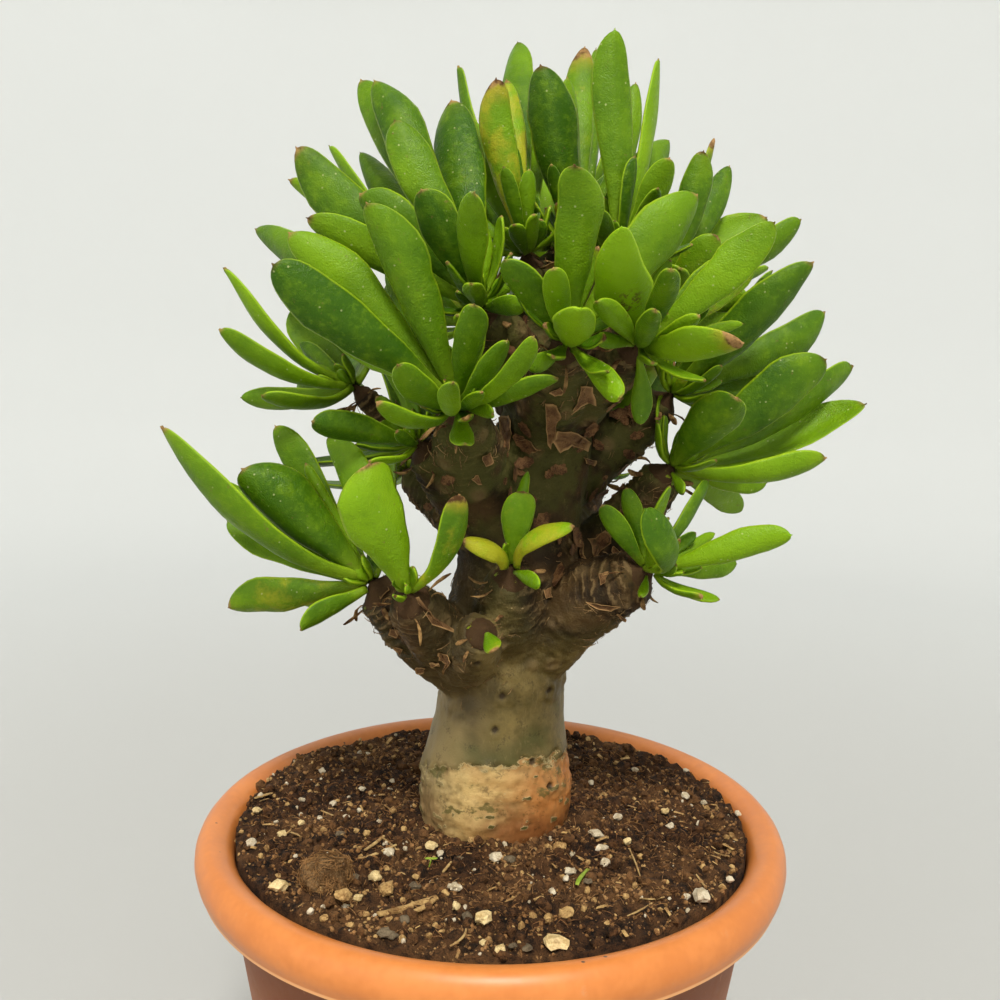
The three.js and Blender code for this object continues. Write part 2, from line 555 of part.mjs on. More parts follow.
const DRAIN = { count: 6, radius: 5.5, ring: 50, sides: 10 };

function lathe(points, sides) {
  const section = points.map(([radius, height]) => new THREE.Vector2(radius, height));
  return solid(new THREE.LatheGeometry(section, sides).rotateX(Math.PI / 2));
}

function potBody() {
  let body = lathe([...POT_OUTSIDE, ...POT_INSIDE], POT_SIDES);
  for (let i = 0; i < DRAIN.count; i++) {
    const angle = (2 * Math.PI * i) / DRAIN.count;
    const hole = new THREE.CylinderGeometry(DRAIN.radius, DRAIN.radius, BASE_THICK * 3, DRAIN.sides)
      .rotateX(Math.PI / 2)
      .translate(DRAIN.ring * Math.cos(angle), DRAIN.ring * Math.sin(angle), BASE_THICK / 2);
    body = body.subtract(solid(hole));
  }
  return body;
}

// The soil's surface: clods as sums of waves, a rise at the trunk, one big lump at the front left and a
// heap against the rim at the back left.
const LUMP = { at: seen(325, 878, 70), radius: 11, high: 6 };
const HEAP = { at: new THREE.Vector3(-88, 46, 0), radius: 24, high: 4.5 };
function soilHeight(x, y) {
  const clods = 1.1 * Math.sin(x * 0.19 + 1.3) * Math.cos(y * 0.23) + 0.8 * Math.sin(x * 0.47 - y * 0.39)
    + 0.6 * Math.cos(x * 0.83 + y * 0.71 + 2);
  const rise = 2.5 * Math.exp(-((Math.hypot(x, y) - 36) ** 2) / 300);
  const fromLump = Math.hypot(x - LUMP.at.x, y - LUMP.at.y) / LUMP.radius;
  const lump = LUMP.high * Math.exp(-1 * fromLump ** 4);
  const fromHeap = Math.hypot(x - HEAP.at.x, y - HEAP.at.y) / HEAP.radius;
  const heap = HEAP.high * Math.exp(-1 * fromHeap ** 2);
  return SOIL_TOP + clods + rise + lump + heap;
}

const SOIL_RINGS = 8;
const SOIL_SIDES = 32;
function soilBody() {
  const inside = POT_INSIDE.filter(([r, z]) => r > 0 && z < SOIL_TOP - 2);
  const inner = SEAT_GAP / Math.cos(Math.PI / SOIL_SIDES) + POT_RADIUS * (1 - Math.cos(Math.PI / POT_SIDES));
  const rings = [];
  for (let i = 0; i <= SOIL_RINGS; i++) {
    const radius = Math.max(0.5, ((inside[0][0] - inner) * i) / SOIL_RINGS);
    rings.push(Array.from({ length: SOIL_SIDES }, (_, j) => {
      const angle = (2 * Math.PI * (j + 0.5 * (i % 2))) / SOIL_SIDES;
      const x = radius * Math.cos(angle);
      const y = radius * Math.sin(angle);
      return new THREE.Vector3(x, y, soilHeight(x, y));
    }));
  }
  for (const [r, z] of inside.slice(1)) {
    rings.push(Array.from({ length: SOIL_SIDES }, (_, j) => {
      const angle = (2 * Math.PI * (j + 0.5)) / SOIL_SIDES;
      return new THREE.Vector3((r - inner) * Math.cos(angle), (r - inner) * Math.sin(angle), z + SEAT_GAP);
    }));
  }
  const hole = tube([
    { ...rootLine[0], point: rootLine[0].point.clone().setZ(rootLine[0].point.z - SEAT_GAP) },
    ...caudexLine.slice(1, 7),
  ], CAUDEX_SIDES, SEAT_GAP + 0.2);
  return solid(loft(rings)).subtract(hole);
}

const finish = (color, roughness) => new THREE.MeshStandardMaterial({ color, roughness, metalness: 0 });
const PLASTIC = finish(0xc8703c, 0.45);
const SOIL = finish(0x3b2a1e, 0.95);
const BARK = finish(0x6f6142, 0.7);
const LEAF = finish(0x5f9a1e, 0.4);

function piece(name, body, material) {
  const mesh = new THREE.Mesh(geometryOf(body), material);
  mesh.name = name;
  return mesh;
}

const plant = new THREE.Group();
plant.add(piece('pot', potBody(), PLASTIC));
plant.add(piece('soil', soilBody(), SOIL));
plant.add(piece('trunk', trunkBody(0), BARK));
const woodRoom = trunkBody(SEAT_GAP * 1.4);
occupyWood();
for (const shoot of growShoots()) {
  const body = Manifold.union([tipStub(shoot), ...shoot.leaves.map(blade)]).subtract(woodRoom);
  plant.add(piece(`leaves_${shoot.name}`, body, LEAF));
}

export default plant;
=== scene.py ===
# %% [markdown]
# # A potted butter tree
# This lesson dresses a butter tree, a succulent with a swollen trunk and fleshy paddle leaves, in a
# plastic pot. The imported CAD model gives the sizes. Each piece here is a finer one in the same place.
# We start by loading that frame.

# %% Load the frame
import math

import bmesh
import bpy
import numpy as np
from mathutils import Matrix, Vector, kdtree, noise
from mathutils.bvhtree import BVHTree


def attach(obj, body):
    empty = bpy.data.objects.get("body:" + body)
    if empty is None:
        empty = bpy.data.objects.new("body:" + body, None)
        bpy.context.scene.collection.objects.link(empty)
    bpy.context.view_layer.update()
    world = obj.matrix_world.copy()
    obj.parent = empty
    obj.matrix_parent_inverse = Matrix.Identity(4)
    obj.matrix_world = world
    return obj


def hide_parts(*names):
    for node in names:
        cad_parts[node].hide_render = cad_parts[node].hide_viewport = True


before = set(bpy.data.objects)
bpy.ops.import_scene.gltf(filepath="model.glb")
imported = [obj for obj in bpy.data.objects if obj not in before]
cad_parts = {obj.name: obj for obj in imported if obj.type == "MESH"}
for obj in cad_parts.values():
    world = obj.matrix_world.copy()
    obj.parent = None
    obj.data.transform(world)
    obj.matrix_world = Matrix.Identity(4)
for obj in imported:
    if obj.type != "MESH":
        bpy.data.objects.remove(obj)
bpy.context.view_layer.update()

MM = 0.001

# %% [markdown]
# ## The standpoint
# The photograph was taken 418 mm in front of the trunk and 190 mm above the rim, looking a little
# down. With these few sizes, any pixel of the 1000 pixel picture names a line of sight. `seen`
# walks along one until it is a given distance ahead of the trunk, which is how the branches and the
# leaves get their places.

# %% Camera and lines of sight
POT_HEIGHT = 190
EYE = np.array([0.0, -418.0, POT_HEIGHT + 190.0])
EYE_DOWN, EYE_ASIDE, EYE_ROLL = np.radians([7.3, 0.17, 1.02])
PICTURE_FOCUS, PICTURE_MIDDLE = 1000, 500


def unit(v):
    return v / np.linalg.norm(v)


sight = np.array([math.sin(EYE_ASIDE) * math.cos(EYE_DOWN), math.cos(EYE_ASIDE) * math.cos(EYE_DOWN),
                  -math.sin(EYE_DOWN)])
level_right = unit(np.cross(sight, [0, 0, 1]))
level_up = np.cross(level_right, sight)
picture_right = level_right * math.cos(EYE_ROLL) + level_up * math.sin(EYE_ROLL)
picture_up = level_up * math.cos(EYE_ROLL) - level_right * math.sin(EYE_ROLL)


def seen(across, down, ahead):
    ray = (sight + picture_right * (across - PICTURE_MIDDLE) / PICTURE_FOCUS
           + picture_up * (PICTURE_MIDDLE - down) / PICTURE_FOCUS)
    return EYE + ray * ((-ahead - EYE[1]) / ray[1])


camera_data = bpy.data.cameras.new("camera")
camera_data.sensor_width = camera_data.lens = 36
camera = bpy.data.objects.new("camera", camera_data)
turned = np.stack([picture_right, picture_up, -sight, EYE * MM], axis=1)
camera.matrix_world = Matrix([*turned.tolist(), [0, 0, 0, 1]])
bpy.context.collection.objects.link(camera)
bpy.context.scene.camera = camera

# %% [markdown]
# ## The plant's plan
# The trunk and each branch is a list of places as they are seen, `[across, down, ahead, radius]`,
# in pixels and millimetres. They are the same values as in the CAD model, so the finer wood fills
# the same room.

# %% Trunk and branches
TRUNK = [
    [493, 822, 0, 32.5], [494, 800, 0, 33.5], [496, 772, 0, 33.5], [498, 742, 0, 31],
    [500, 715, 0, 28], [501, 690, 0, 27], [505, 655, 0, 27], [511, 620, 0, 27.5], [516, 580, 0, 27],
    [521, 535, 0, 25.5], [530, 490, -3, 23.5], [542, 445, -5, 21], [552, 405, -5, 18.5],
    [558, 375, -5, 14.5],
]
LIMBS = {
    "low_left": [[500, 668, 2, 19], [462, 655, 10, 17.5], [425, 629, 20, 15.5], [382, 592, 27, 12]],
    "low_left_side": [[440, 640, 26, 13], [424, 620, 42, 11.5], [412, 602, 55, 9]],
    "left_knob": [[462, 658, 22, 13], [474, 645, 40, 11], [482, 634, 49, 8]],
    "front_knob": [[508, 640, 8, 18], [509, 608, 25, 14.5], [511, 578, 36, 9.5]],
    "low_right": [[528, 648, 4, 18.5], [566, 614, 16, 16.5], [603, 591, 24, 14.5], [638, 576, 31, 11]],
    "right": [[545, 590, -5, 16], [590, 555, -12, 14], [632, 516, -8, 12], [663, 476, 0, 9]],
    "dark_right": [[548, 490, -8, 15], [592, 462, -22, 13], [634, 430, -22, 10.5], [662, 403, -14, 8]],
    "left_mid": [[518, 550, 4, 17], [480, 508, 14, 14.5], [448, 472, 22, 12.5], [428, 452, 28, 9.5]],
    "left": [[470, 492, 0, 12], [430, 455, -6, 8], [392, 421, -6, 6.5], [363, 395, 0, 5]],
    "left_crown": [[512, 560, 6, 18], [484, 500, 16, 16.5], [468, 450, 32, 14], [459, 413, 48, 9.5]],
    "front_crown": [[545, 425, 6, 16], [557, 385, 32, 12.5], [566, 350, 56, 8]],
    "right_crown": [[560, 415, 2, 15], [597, 380, 26, 12], [632, 351, 48, 8]],
    "upper_left": [[545, 410, 0, 15], [518, 362, 16, 12.5], [487, 315, 34, 8]],
    "top_left": [[556, 385, -4, 14], [543, 325, 4, 11.5], [529, 268, 12, 8]],
    "top": [[560, 375, -8, 14], [570, 320, -10, 11.5], [577, 268, -8, 8]],
    "top_right": [[562, 375, 0, 13], [590, 325, 12, 11], [612, 272, 22, 8]],
    "right_upper": [[562, 395, -10, 14], [608, 350, -8, 11.5], [650, 308, -2, 8]],
    "back_left": [[545, 430, -10, 15], [508, 375, -38, 12], [478, 330, -62, 8.5]],
    "back_middle": [[550, 420, -14, 16], [552, 362, -48, 12.5], [549, 308, -76, 8.5]],
    "back_right": [[556, 425, -12, 15], [605, 375, -40, 12], [636, 336, -64, 8.5]],
    "back_top": [[558, 390, -12, 14], [558, 320, -34, 11], [552, 262, -46, 8]],
    "back_low_left": [[505, 560, -12, 15], [455, 512, -34, 12], [412, 478, -48, 7.5]],
    "back_low_right": [[535, 560, -16, 16], [570, 515, -48, 12.5], [592, 478, -68, 8.5]],
}

# %% [markdown]
# ## The leaves that show
# Each leaf is `[tip across, tip down, tip ahead, width, face, bow]` under the branch that bears it.
# Face 0 shows the underside and 180 the upper side. Bow is how far the midrib arches, as a share of
# the leaf's length.

# %% Leaves
LEAVES = {
    "low_left": [
        [159, 430, 45, 19, 44, 0.15], [207, 478, 24, 16, 140, 0.08], [255, 459, 52, 21, 10, 0.06],
        [280, 425, 14, 14, 30, 0.04], [226, 605, 24, 16, 20, 0.03], [300, 629, 44, 12, 40, 0.03],
        [303, 606, 34, 6, 30, 0.03], [378, 545, 14, 8, 0, 0.05], [302, 466, 34, 6, 20, 0.04],
    ],
    "low_left_side": [
        [357, 471, 82, 23, 5, 0.08], [460, 496, 74, 13, -55, 0.13], [338, 432, 36, 14, 10, 0.04],
    ],
    "left_knob": [[494, 651, 68, 7, 0, 0.05]],
    "front_knob": [
        [463, 541, 56, 10, -50, 0.22], [522, 492, 48, 12.5, 5, 0.05], [526, 471, 30, 5, 20, 0.1],
        [573, 526, 56, 10, 50, 0.2], [537, 584, 64, 6, -10, 0.02],
    ],
    "low_right": [
        [603, 505, 42, 9, 20, 0.08], [626, 488, 34, 8, 10, 0.04], [644, 512, 66, 14, -50, 0.3],
        [789, 531, 48, 12, -20, 0.06], [738, 562, 24, 12, -10, 0.05], [655, 528, 34, 6, 0, 0.05],
        [641, 596, 50, 4, 0, 0.02], [708, 481, 14, 7, -50, 0.05], [713, 533, 18, 5, -10, 0.02],
    ],
    "right": [
        [738, 399, 42, 19, -15, 0.08], [823, 354, 18, 21, -20, 0.06],
        [857, 366, -14, 16, -30, 0.06], [861, 402, 10, 18, -145, 0.12],
        [826, 461, 28, 15, -55, 0.13], [766, 480, -18, 12, -20, 0.08], [684, 494, 16, 5, -20, 0.02],
        [745, 432, -22, 14, -30, 0.05], [738, 510, -32, 12, -10, 0.05],
    ],
    "dark_right": [
        [808, 259, 26, 19, -20, 0.12], [781, 294, 4, 11, -20, 0.06], [832, 323, -26, 17, -12, 0.05],
        [770, 268, -34, 7, -50, 0.05], [722, 368, 12, 6, -40, 0.1], [700, 345, -44, 12, -10, 0.05],
    ],
    "left_mid": [[313, 424, 44, 13, 25, 0.05], [303, 467, 12, 12, 100, 0.03]],
    "left": [
        [227, 269, 14, 12, 66, 0.14], [218, 334, 26, 13, 50, 0.12], [263, 398, 34, 13, 75, 0.14],
        [243, 401, -12, 11, 30, 0.03], [296, 388, -20, 10, 20, 0.03], [298, 345, -12, 8, 20, 0.04],
    ],
    "left_crown": [
        [297, 225, 66, 18, 8, 0.05], [269, 271, 88, 18.5, 12, 0.06], [299, 278, 50, 12, 110, 0.04],
        [272, 257, 34, 12, 20, 0.05], [258, 221, 22, 14, 15, 0.06], [393, 368, 92, 11, 40, 0.14],
        [375, 404, 78, 9, 65, 0.2], [491, 415, 72, 6, -20, 0.01], [464, 445, 72, 9, 0, 0.01],
        [554, 376, 86, 11, -60, 0.1], [499, 369, 70, 6, -70, 0.15], [540, 341, 92, 8, -45, 0.12],
        [477, 306, 84, 11, 0, 0.04], [378, 200, 72, 17, 8, 0.05], [469, 350, 62, 6, -20, 0.05],
        [427, 333, 56, 6, 30, 0.1], [481, 392, 74, 6, -30, 0.08], [385, 261, 40, 12, 10, 0.05],
        [508, 342, 88, 8, -20, 0.1], [448, 378, 92, 8, 30, 0.12], [330, 330, 40, 12, 20, 0.05],
    ],
    "front_crown": [
        [590, 166, 92, 16, 0, 0.03], [578, 312, 104, 14.5, 0, 0.1], [506, 262, 88, 12, 12, 0.05],
        [545, 288, 76, 7, 30, 0.12], [524, 300, 66, 6, 10, 0.05], [619, 399, 84, 9, -10, 0.02],
        [699, 194, 60, 19.5, -8, 0.08], [554, 268, 84, 9, -5, 0.08], [528, 368, 84, 7, 30, 0.08],
        [632, 262, 56, 12, -8, 0.05],
    ],
    "right_crown": [
        [610, 234, 94, 19.5, 0, 0.07], [772, 223, 66, 15, -12, 0.06], [641, 424, 50, 8, -10, 0.02],
        [738, 335, 98, 15, -35, 0.14], [652, 312, 94, 8, -10, 0.08], [676, 272, 78, 9, -15, 0.06],
        [598, 300, 94, 8, 10, 0.08], [698, 316, 86, 7, -50, 0.1], [742, 324, 54, 7, -50, 0.05],
        [597, 339, 78, 6, 0, 0.02],
    ],
    "upper_left": [
        [292, 159, 34, 18, 10, 0.05], [293, 173, 12, 11, 20, 0.04], [328, 147, -6, 9, 60, 0.05],
        [360, 147, -10, 12, 10, 0.04], [312, 210, 50, 13, 15, 0.05], [366, 187, 56, 17, 8, 0.06],
        [424, 190, 66, 15, 5, 0.06], [361, 76, 2, 16, 12, 0.05], [386, 70, 24, 18, 8, 0.05],
        [392, 121, 42, 16, 12, 0.06], [442, 102, 34, 20, 8, 0.05], [473, 192, 76, 12, 40, 0.08],
        [448, 262, 72, 6, 60, 0.03], [478, 225, 54, 9, 20, 0.03], [521, 305, 68, 8, -30, 0.05],
        [498, 300, 60, 6, 10, 0.03], [470, 282, 78, 8, 10, 0.05], [508, 280, 66, 7, -10, 0.05],
        [452, 210, 44, 11, 5, 0.05], [410, 250, 40, 12, 8, 0.05],
    ],
    "top_left": [
        [452, 106, 2, 14, 12, 0.05], [484, 83, 20, 14, 8, 0.04], [453, 70, -22, 9, 40, 0.04],
        [501, 80, 8, 13, 5, 0.03], [517, 41, -20, 15, 3, 0.03], [515, 226, 40, 7, 10, 0.05],
        [541, 220, 34, 7, -10, 0.1], [504, 167, 34, 6, 5, 0.05], [514, 147, 20, 6, 5, 0.04],
        [530, 170, 28, 7, 0, 0.05],
    ],
    "top": [
        [546, 64, 14, 20, 3, 0.04], [568, 80, -6, 9, -30, 0.05], [578, 44, -36, 13, 0, 0.04],
        [595, 51, -46, 8, -40, 0.04], [556, 203, 16, 4.5, 0, 0.05], [553, 235, 22, 5, 0, 0.05],
        [562, 226, 28, 7, 0, 0.05], [550, 165, 10, 6, 0, 0.03],
    ],
    "top_right": [
        [604, 33, 30, 15, -3, 0.05], [637, 87, -2, 10, -12, 0.04], [659, 62, 12, 12, -52, 0.06],
        [637, 157, 24, 8, -60, 0.03], [666, 157, 48, 11, -25, 0.06], [665, 137, 6, 14, -8, 0.05],
        [660, 188, 50, 7, -20, 0.05], [598, 214, 54, 8, 5, 0.05], [626, 226, 62, 8, -5, 0.05],
    ],
    "right_upper": [
        [706, 152, 8, 13, -10, 0.04], [717, 139, -10, 6, -50, 0.03], [729, 168, -20, 12, -15, 0.05],
        [718, 237, 16, 14, -12, 0.05], [682, 270, 30, 11, -10, 0.08], [770, 269, -30, 7, -50, 0.05],
        [748, 298, 8, 12, -20, 0.05], [804, 226, 10, 13, -30, 0.06],
    ],
}
print(sum(map(len, LEAVES.values())), "leaves show in the picture")

# %% [markdown]
# ## Leaves on the far side
# The photograph hides the far side, so a rule fills it: a spiral round each shoot, with small
# seeded draws. A leaf that would come too close to another is left out. To test that, each leaf is
# stood for by rows of small balls.

# %% The rule's values
HIDDEN_LEAVES = {
    "low_left": 3, "right": 4, "left_mid": 4, "left": 3, "left_crown": 4, "right_crown": 5,
    "upper_left": 5, "top_left": 4, "top": 4, "top_right": 4, "right_upper": 4, "dark_right": 4,
    "back_left": 9, "back_middle": 10, "back_right": 9, "back_top": 8, "back_low_left": 7,
    "back_low_right": 8,
}
TRIES_PER_LEAF = 9
HIDDEN_LENGTHS, HIDDEN_WIDTHS, HIDDEN_SPREAD = (50, 86), (13, 19), np.radians([18, 96])
HIDDEN_BOW, HIDDEN_LIFT, HIDDEN_BACK, HIDDEN_DROP = 0.07, 0.22, 0.2, -0.2
CROWN_MIDDLE = seen(548, 330, 0)
CROWN_REACH = np.array([122, 134, 110])
CROWN_SKIRT = 60
LEAF_THICK, LEAF_CUP, LEAF_WIDEST = 3.4, 0.11, 0.74
STALK_SHARE, BLUNT_SHARE, BEND_SHARE = 0.3, 0.36, 0.45
BALL_RADIUS, BALL_STEPS, BALL_ROWS, SHARED_ROOT = 2.3, 16, (-0.9, -0.45, 0, 0.45, 0.9), 0.3
SLIDE_STEP, SLIDE_TRIES, TIP_LENGTH, ROOT_OUT, WOOD_STEP, SHELL_SIDES = 4, 20, 9, 3.7, 4, 10
GOLDEN_ANGLE = math.radians(137.508)

drawn = 20011


def between(low, high):
    global drawn
    drawn = drawn * 16807 % 2147483647
    return low + (high - low) * drawn / 2147483647


# %% [markdown]
# A branch is a smooth line through its places. `midrib` gives a leaf's curve and `half_width` its
# outline.

# %% Lines, leaves and their balls
def square_to(direction):
    helper = [0, 0, 1] if abs(direction[2]) < 0.9 else [1, 0, 0]
    first = unit(np.cross(helper, direction))
    return first, np.cross(direction, first)


def limb_line(places, per_span):
    knots = [seen(*place[:3]) for place in places]
    last = len(knots) - 1
    slopes = [(knots[min(i + 1, last)] - knots[max(i - 1, 0)]) / (min(i + 1, last) - max(i - 1, 0))
              for i in range(last + 1)]
    line = []
    for i in range(last):
        for j in range(1 if i else 0, per_span + 1):
            t = j / per_span
            c, s = t**3, t**2
            knot, slope, after, slope_after = knots[i], slopes[i], knots[i + 1], slopes[i + 1]
            point = (knot * (2 * c - 3 * s + 1) + slope * (c - 2 * s + t) + after * (3 * s - 2 * c)
                     + slope_after * (c - s))
            along = unit(knot * (6 * s - 6 * t) + slope * (3 * s - 4 * t + 1) + after * (6 * t - 6 * s)
                         + slope_after * (3 * s - 2 * t))
            line.append((point, along, places[i][3] * (1 - t) + places[i + 1][3] * t))
    return line


def half_width(share):
    if share < LEAF_WIDEST:
        rise = math.sin(math.pi / 2 * share / LEAF_WIDEST) ** 2
        return 0.5 * (STALK_SHARE + (1 - STALK_SHARE) * rise)
    past = (share - LEAF_WIDEST) / (1 - LEAF_WIDEST)
    return 0.5 * max(BLUNT_SHARE, math.sqrt(max(0, 1 - past**2.8)))


def midrib(leaf, share):
    bend = (leaf["root"] + (leaf["tip"] - leaf["root"]) * BEND_SHARE
            - leaf["upper"] * 2 * leaf["bow"] * leaf["length"])
    point = leaf["root"] * (1 - share) ** 2 + bend * 2 * share * (1 - share) + leaf["tip"] * share**2
    along = unit((bend - leaf["root"]) * (1 - share) + (leaf["tip"] - bend) * share)
    upper = unit(leaf["upper"] - along * (leaf["upper"] @ along))
    return point, upper, np.cross(along, upper)


def leaf_from(shoot, tip, width, upper, bow):
    root = shoot["middle"] + unit(tip - shoot["middle"]) * min(shoot["radius"] * 0.45, ROOT_OUT)
    chord = unit(tip - root)
    return {"shoot": shoot["name"], "root": root, "tip": tip, "width": width, "bow": bow,
            "upper": unit(upper - chord * (upper @ chord)), "length": np.linalg.norm(tip - root)}


def upper_seen(root, tip, face):
    chord = unit(tip - root)
    to_eye = unit(EYE - (root + tip) / 2)
    right = unit(np.cross(chord, to_eye))
    away = unit(np.cross(chord, right))
    if away @ to_eye > 0:
        away = -away
    return away * math.cos(math.radians(face)) + right * math.sin(math.radians(face))


def balls_of(leaf):
    rows = []
    for i in range(1, BALL_STEPS + 1):
        share = i / BALL_STEPS
        point, upper, wide = midrib(leaf, share)
        half = half_width(share) * leaf["width"]
        for row in BALL_ROWS if half > BALL_RADIUS * 1.5 else (0,):
            rows.append([*(point + wide * half * row + upper * LEAF_CUP * half * 2 * abs(row)), share])
    return np.array(rows)


# %% [markdown]
# Everything already in place is kept in one growing table: place, radius, owner and share of the
# leaf's length.

# %% Clearance
BALL_ROOM = 60000
taken = np.zeros((BALL_ROOM, 6))
taken_count = 0
owners = {name: i for i, name in enumerate(["trunk", *LIMBS])}


def occupy(places, radii, owner, shares):
    global taken_count
    rows = taken[taken_count:taken_count + len(places)]
    rows[:, :3], rows[:, 3], rows[:, 4], rows[:, 5] = places, radii, owners[owner], shares
    taken_count += len(places)


def crossings(leaf):
    mine = balls_of(leaf)
    reach = BALL_RADIUS + 14
    others = taken[:taken_count]
    low, high = mine[:, :3].min(0) - reach, mine[:, :3].max(0) + reach
    others = others[np.all((others[:, :3] > low) & (others[:, :3] < high), axis=1)]
    apart = np.linalg.norm(mine[:, None, :3] - others[None, :, :3], axis=2)
    near = apart < BALL_RADIUS + others[None, :, 3]
    kin = others[None, :, 4] == owners[leaf["shoot"]]
    rooted = (mine[:, None, 3] < SHARED_ROOT) | (others[None, :, 5] < SHARED_ROOT)
    return int(np.any(near & ~(kin & rooted), axis=1).sum())


# %% [markdown]
# Now the plan can be grown: the wood first, then the leaves that show, then the hidden ones.

# %% Grow the plan
LIMB_SPANS = 4
SOIL_TOP = POT_HEIGHT - 3
ROOT_RADII = [[55, 24], [55 / 2, 30]]
root_end = seen(*TRUNK[0][:3])
root_line = [(np.array([root_end[0], 0, SOIL_TOP - depth]), np.array([0, 0, 1.0]), radius)
             for depth, radius in ROOT_RADII]
coarse_lines = {"trunk": root_line + limb_line(TRUNK, 1)}
for name, places in LIMBS.items():
    coarse_lines[name] = limb_line(places, math.floor(LIMB_SPANS / (len(places) - 1) + 0.5))

for name, line in coarse_lines.items():
    for (start, _, first_radius), (end, along, last_radius) in zip(line, line[1:]):
        steps = math.ceil(np.linalg.norm(end - start) / WOOD_STEP)
        for j in range(steps):
            share = (j + 0.5) / steps
            inner = first_radius * (1 - share) + last_radius * share - BALL_RADIUS
            first, second = square_to(along)
            angles = 2 * math.pi * np.arange(SHELL_SIDES)[:, None] / SHELL_SIDES
            out = first * np.cos(angles) + second * np.sin(angles)
            occupy(start + (end - start) * share + inner * out, max(BALL_RADIUS, inner * 0.35), name, 1)


def place_seen(shoot, across, down, ahead, width, face, bow):
    best, fewest = None, None
    for i in range(SLIDE_TRIES + 1):
        slide = math.ceil(i / 2) * (SLIDE_STEP if i % 2 else -SLIDE_STEP)
        tip = seen(across, down, ahead + slide)
        leaf = leaf_from(shoot, tip, width, upper_seen(shoot["middle"], tip, face), bow)
        count = crossings(leaf)
        if fewest is None or count < fewest:
            best, fewest = leaf, count
        if count == 0:
            break
    best["mark"] = (across, down)
    return best


def place_hidden(shoot, age, turn):
    spread = HIDDEN_SPREAD[0] + (HIDDEN_SPREAD[1] - HIDDEN_SPREAD[0]) * age + between(-0.12, 0.12)
    width = between(*HIDDEN_WIDTHS)
    longest = between(*HIDDEN_LENGTHS)
    first, second = square_to(shoot["axis"])
    way = (shoot["axis"] * math.cos(spread) + first * math.sin(spread) * math.cos(turn)
           + second * math.sin(spread) * math.sin(turn))
    way[2] += HIDDEN_LIFT
    way = unit(way)
    if way[1] < HIDDEN_BACK or way[2] < HIDDEN_DROP:
        return None
    for share in (1, 0.85, 0.7):
        tip = shoot["middle"] + way * longest * share
        outside = np.linalg.norm((tip - CROWN_MIDDLE) / CROWN_REACH) > 1
        if outside and tip[2] > CROWN_MIDDLE[2] - CROWN_SKIRT:
            continue
        leaf = leaf_from(shoot, tip, width * (0.5 + share / 2), shoot["axis"], HIDDEN_BOW)
        if crossings(leaf) == 0:
            return leaf
    return None


shoots = []
for i, name in enumerate(LIMBS):
    end, axis, radius = coarse_lines[name][-1]
    shoots.append({"name": name, "end": end, "axis": axis, "radius": radius, "phase": i * 0.7,
                   "leaves": [], "middle": end + axis * TIP_LENGTH * 0.5})


def take(shoot, leaf):
    if leaf:
        shoot["leaves"].append(leaf)
        mine = balls_of(leaf)
        occupy(mine[:, :3], BALL_RADIUS, shoot["name"], mine[:, 3])


for shoot in shoots:
    for leaf in LEAVES.get(shoot["name"], []):
        take(shoot, place_seen(shoot, *leaf))
for shoot in shoots:
    most = HIDDEN_LEAVES.get(shoot["name"], 0) + len(shoot["leaves"])
    tries = HIDDEN_LEAVES.get(shoot["name"], 0) * TRIES_PER_LEAF
    for i in range(tries):
        if len(shoot["leaves"]) < most:
            take(shoot, place_hidden(shoot, i / tries, i * GOLDEN_ANGLE + shoot["phase"]))
print(sum(len(shoot["leaves"]) for shoot in shoots), "leaves in all")
for shoot in shoots:
    print("   ", shoot["name"], len(shoot["leaves"]))

# %% [markdown]
# ## Small helpers
# `make_object` turns points in millimetres and faces into an object, and `grid_faces` joins rings of
# points. `apply_modifiers` keeps the result of an object's modifiers as plain mesh.

# %% Mesh helpers
def make_object(name, points, faces, layers=None, smooth=True):
    mesh = bpy.data.meshes.new(name)
    mesh.from_pydata((np.asarray(points) * MM).tolist(), [], faces)
    mesh.polygons.foreach_set("use_smooth", [smooth] * len(mesh.polygons))
    for layer, values in (layers or {}).items():
        set_layer(mesh, layer, values)
    mesh.update()
    return link_mesh(name, mesh)


def grid_faces(rings, sides, start=0, closed=True, caps=True):
    i, j = np.meshgrid(np.arange(rings - 1), np.arange(sides if closed else sides - 1), indexing="ij")
    a = start + i * sides + j
    b = start + i * sides + (j + 1) % sides
    faces = np.stack([a, b, b + sides, a + sides], -1).reshape(-1, 4).tolist()
    if caps:
        faces.append([start + k for k in reversed(range(sides))])
        faces.append([start + (rings - 1) * sides + k for k in range(sides)])
    return faces


def link_mesh(name, mesh):
    obj = bpy.data.objects.new(name, mesh)
    bpy.context.collection.objects.link(obj)
    return obj


def link_ball(name, divisions, radius, shape_point, smooth=False):
    ball = bmesh.new()
    bmesh.ops.create_icosphere(ball, subdivisions=divisions, radius=radius)
    for vert in ball.verts:
        vert.co = shape_point(vert.co)
    mesh = bpy.data.meshes.new(name)
    ball.to_mesh(mesh)
    ball.free()
    if smooth:
        mesh.shade_smooth()
    return link_mesh(name, mesh)


def set_layer(mesh, name, values):
    values = np.asarray(values, dtype=np.float32)
    kind, field = ("FLOAT_VECTOR", "vector") if values.ndim == 2 else ("FLOAT", "value")
    mesh.attributes.new(name, kind, "POINT").data.foreach_set(field, values.ravel())


def apply_modifiers(obj):
    graph = bpy.context.evaluated_depsgraph_get()
    result = bpy.data.meshes.new_from_object(obj.evaluated_get(graph), preserve_all_data_layers=True,
                                             depsgraph=graph)
    obj.modifiers.clear()
    old, obj.data = obj.data, result
    bpy.data.meshes.remove(old)
    obj.data.name = obj.name


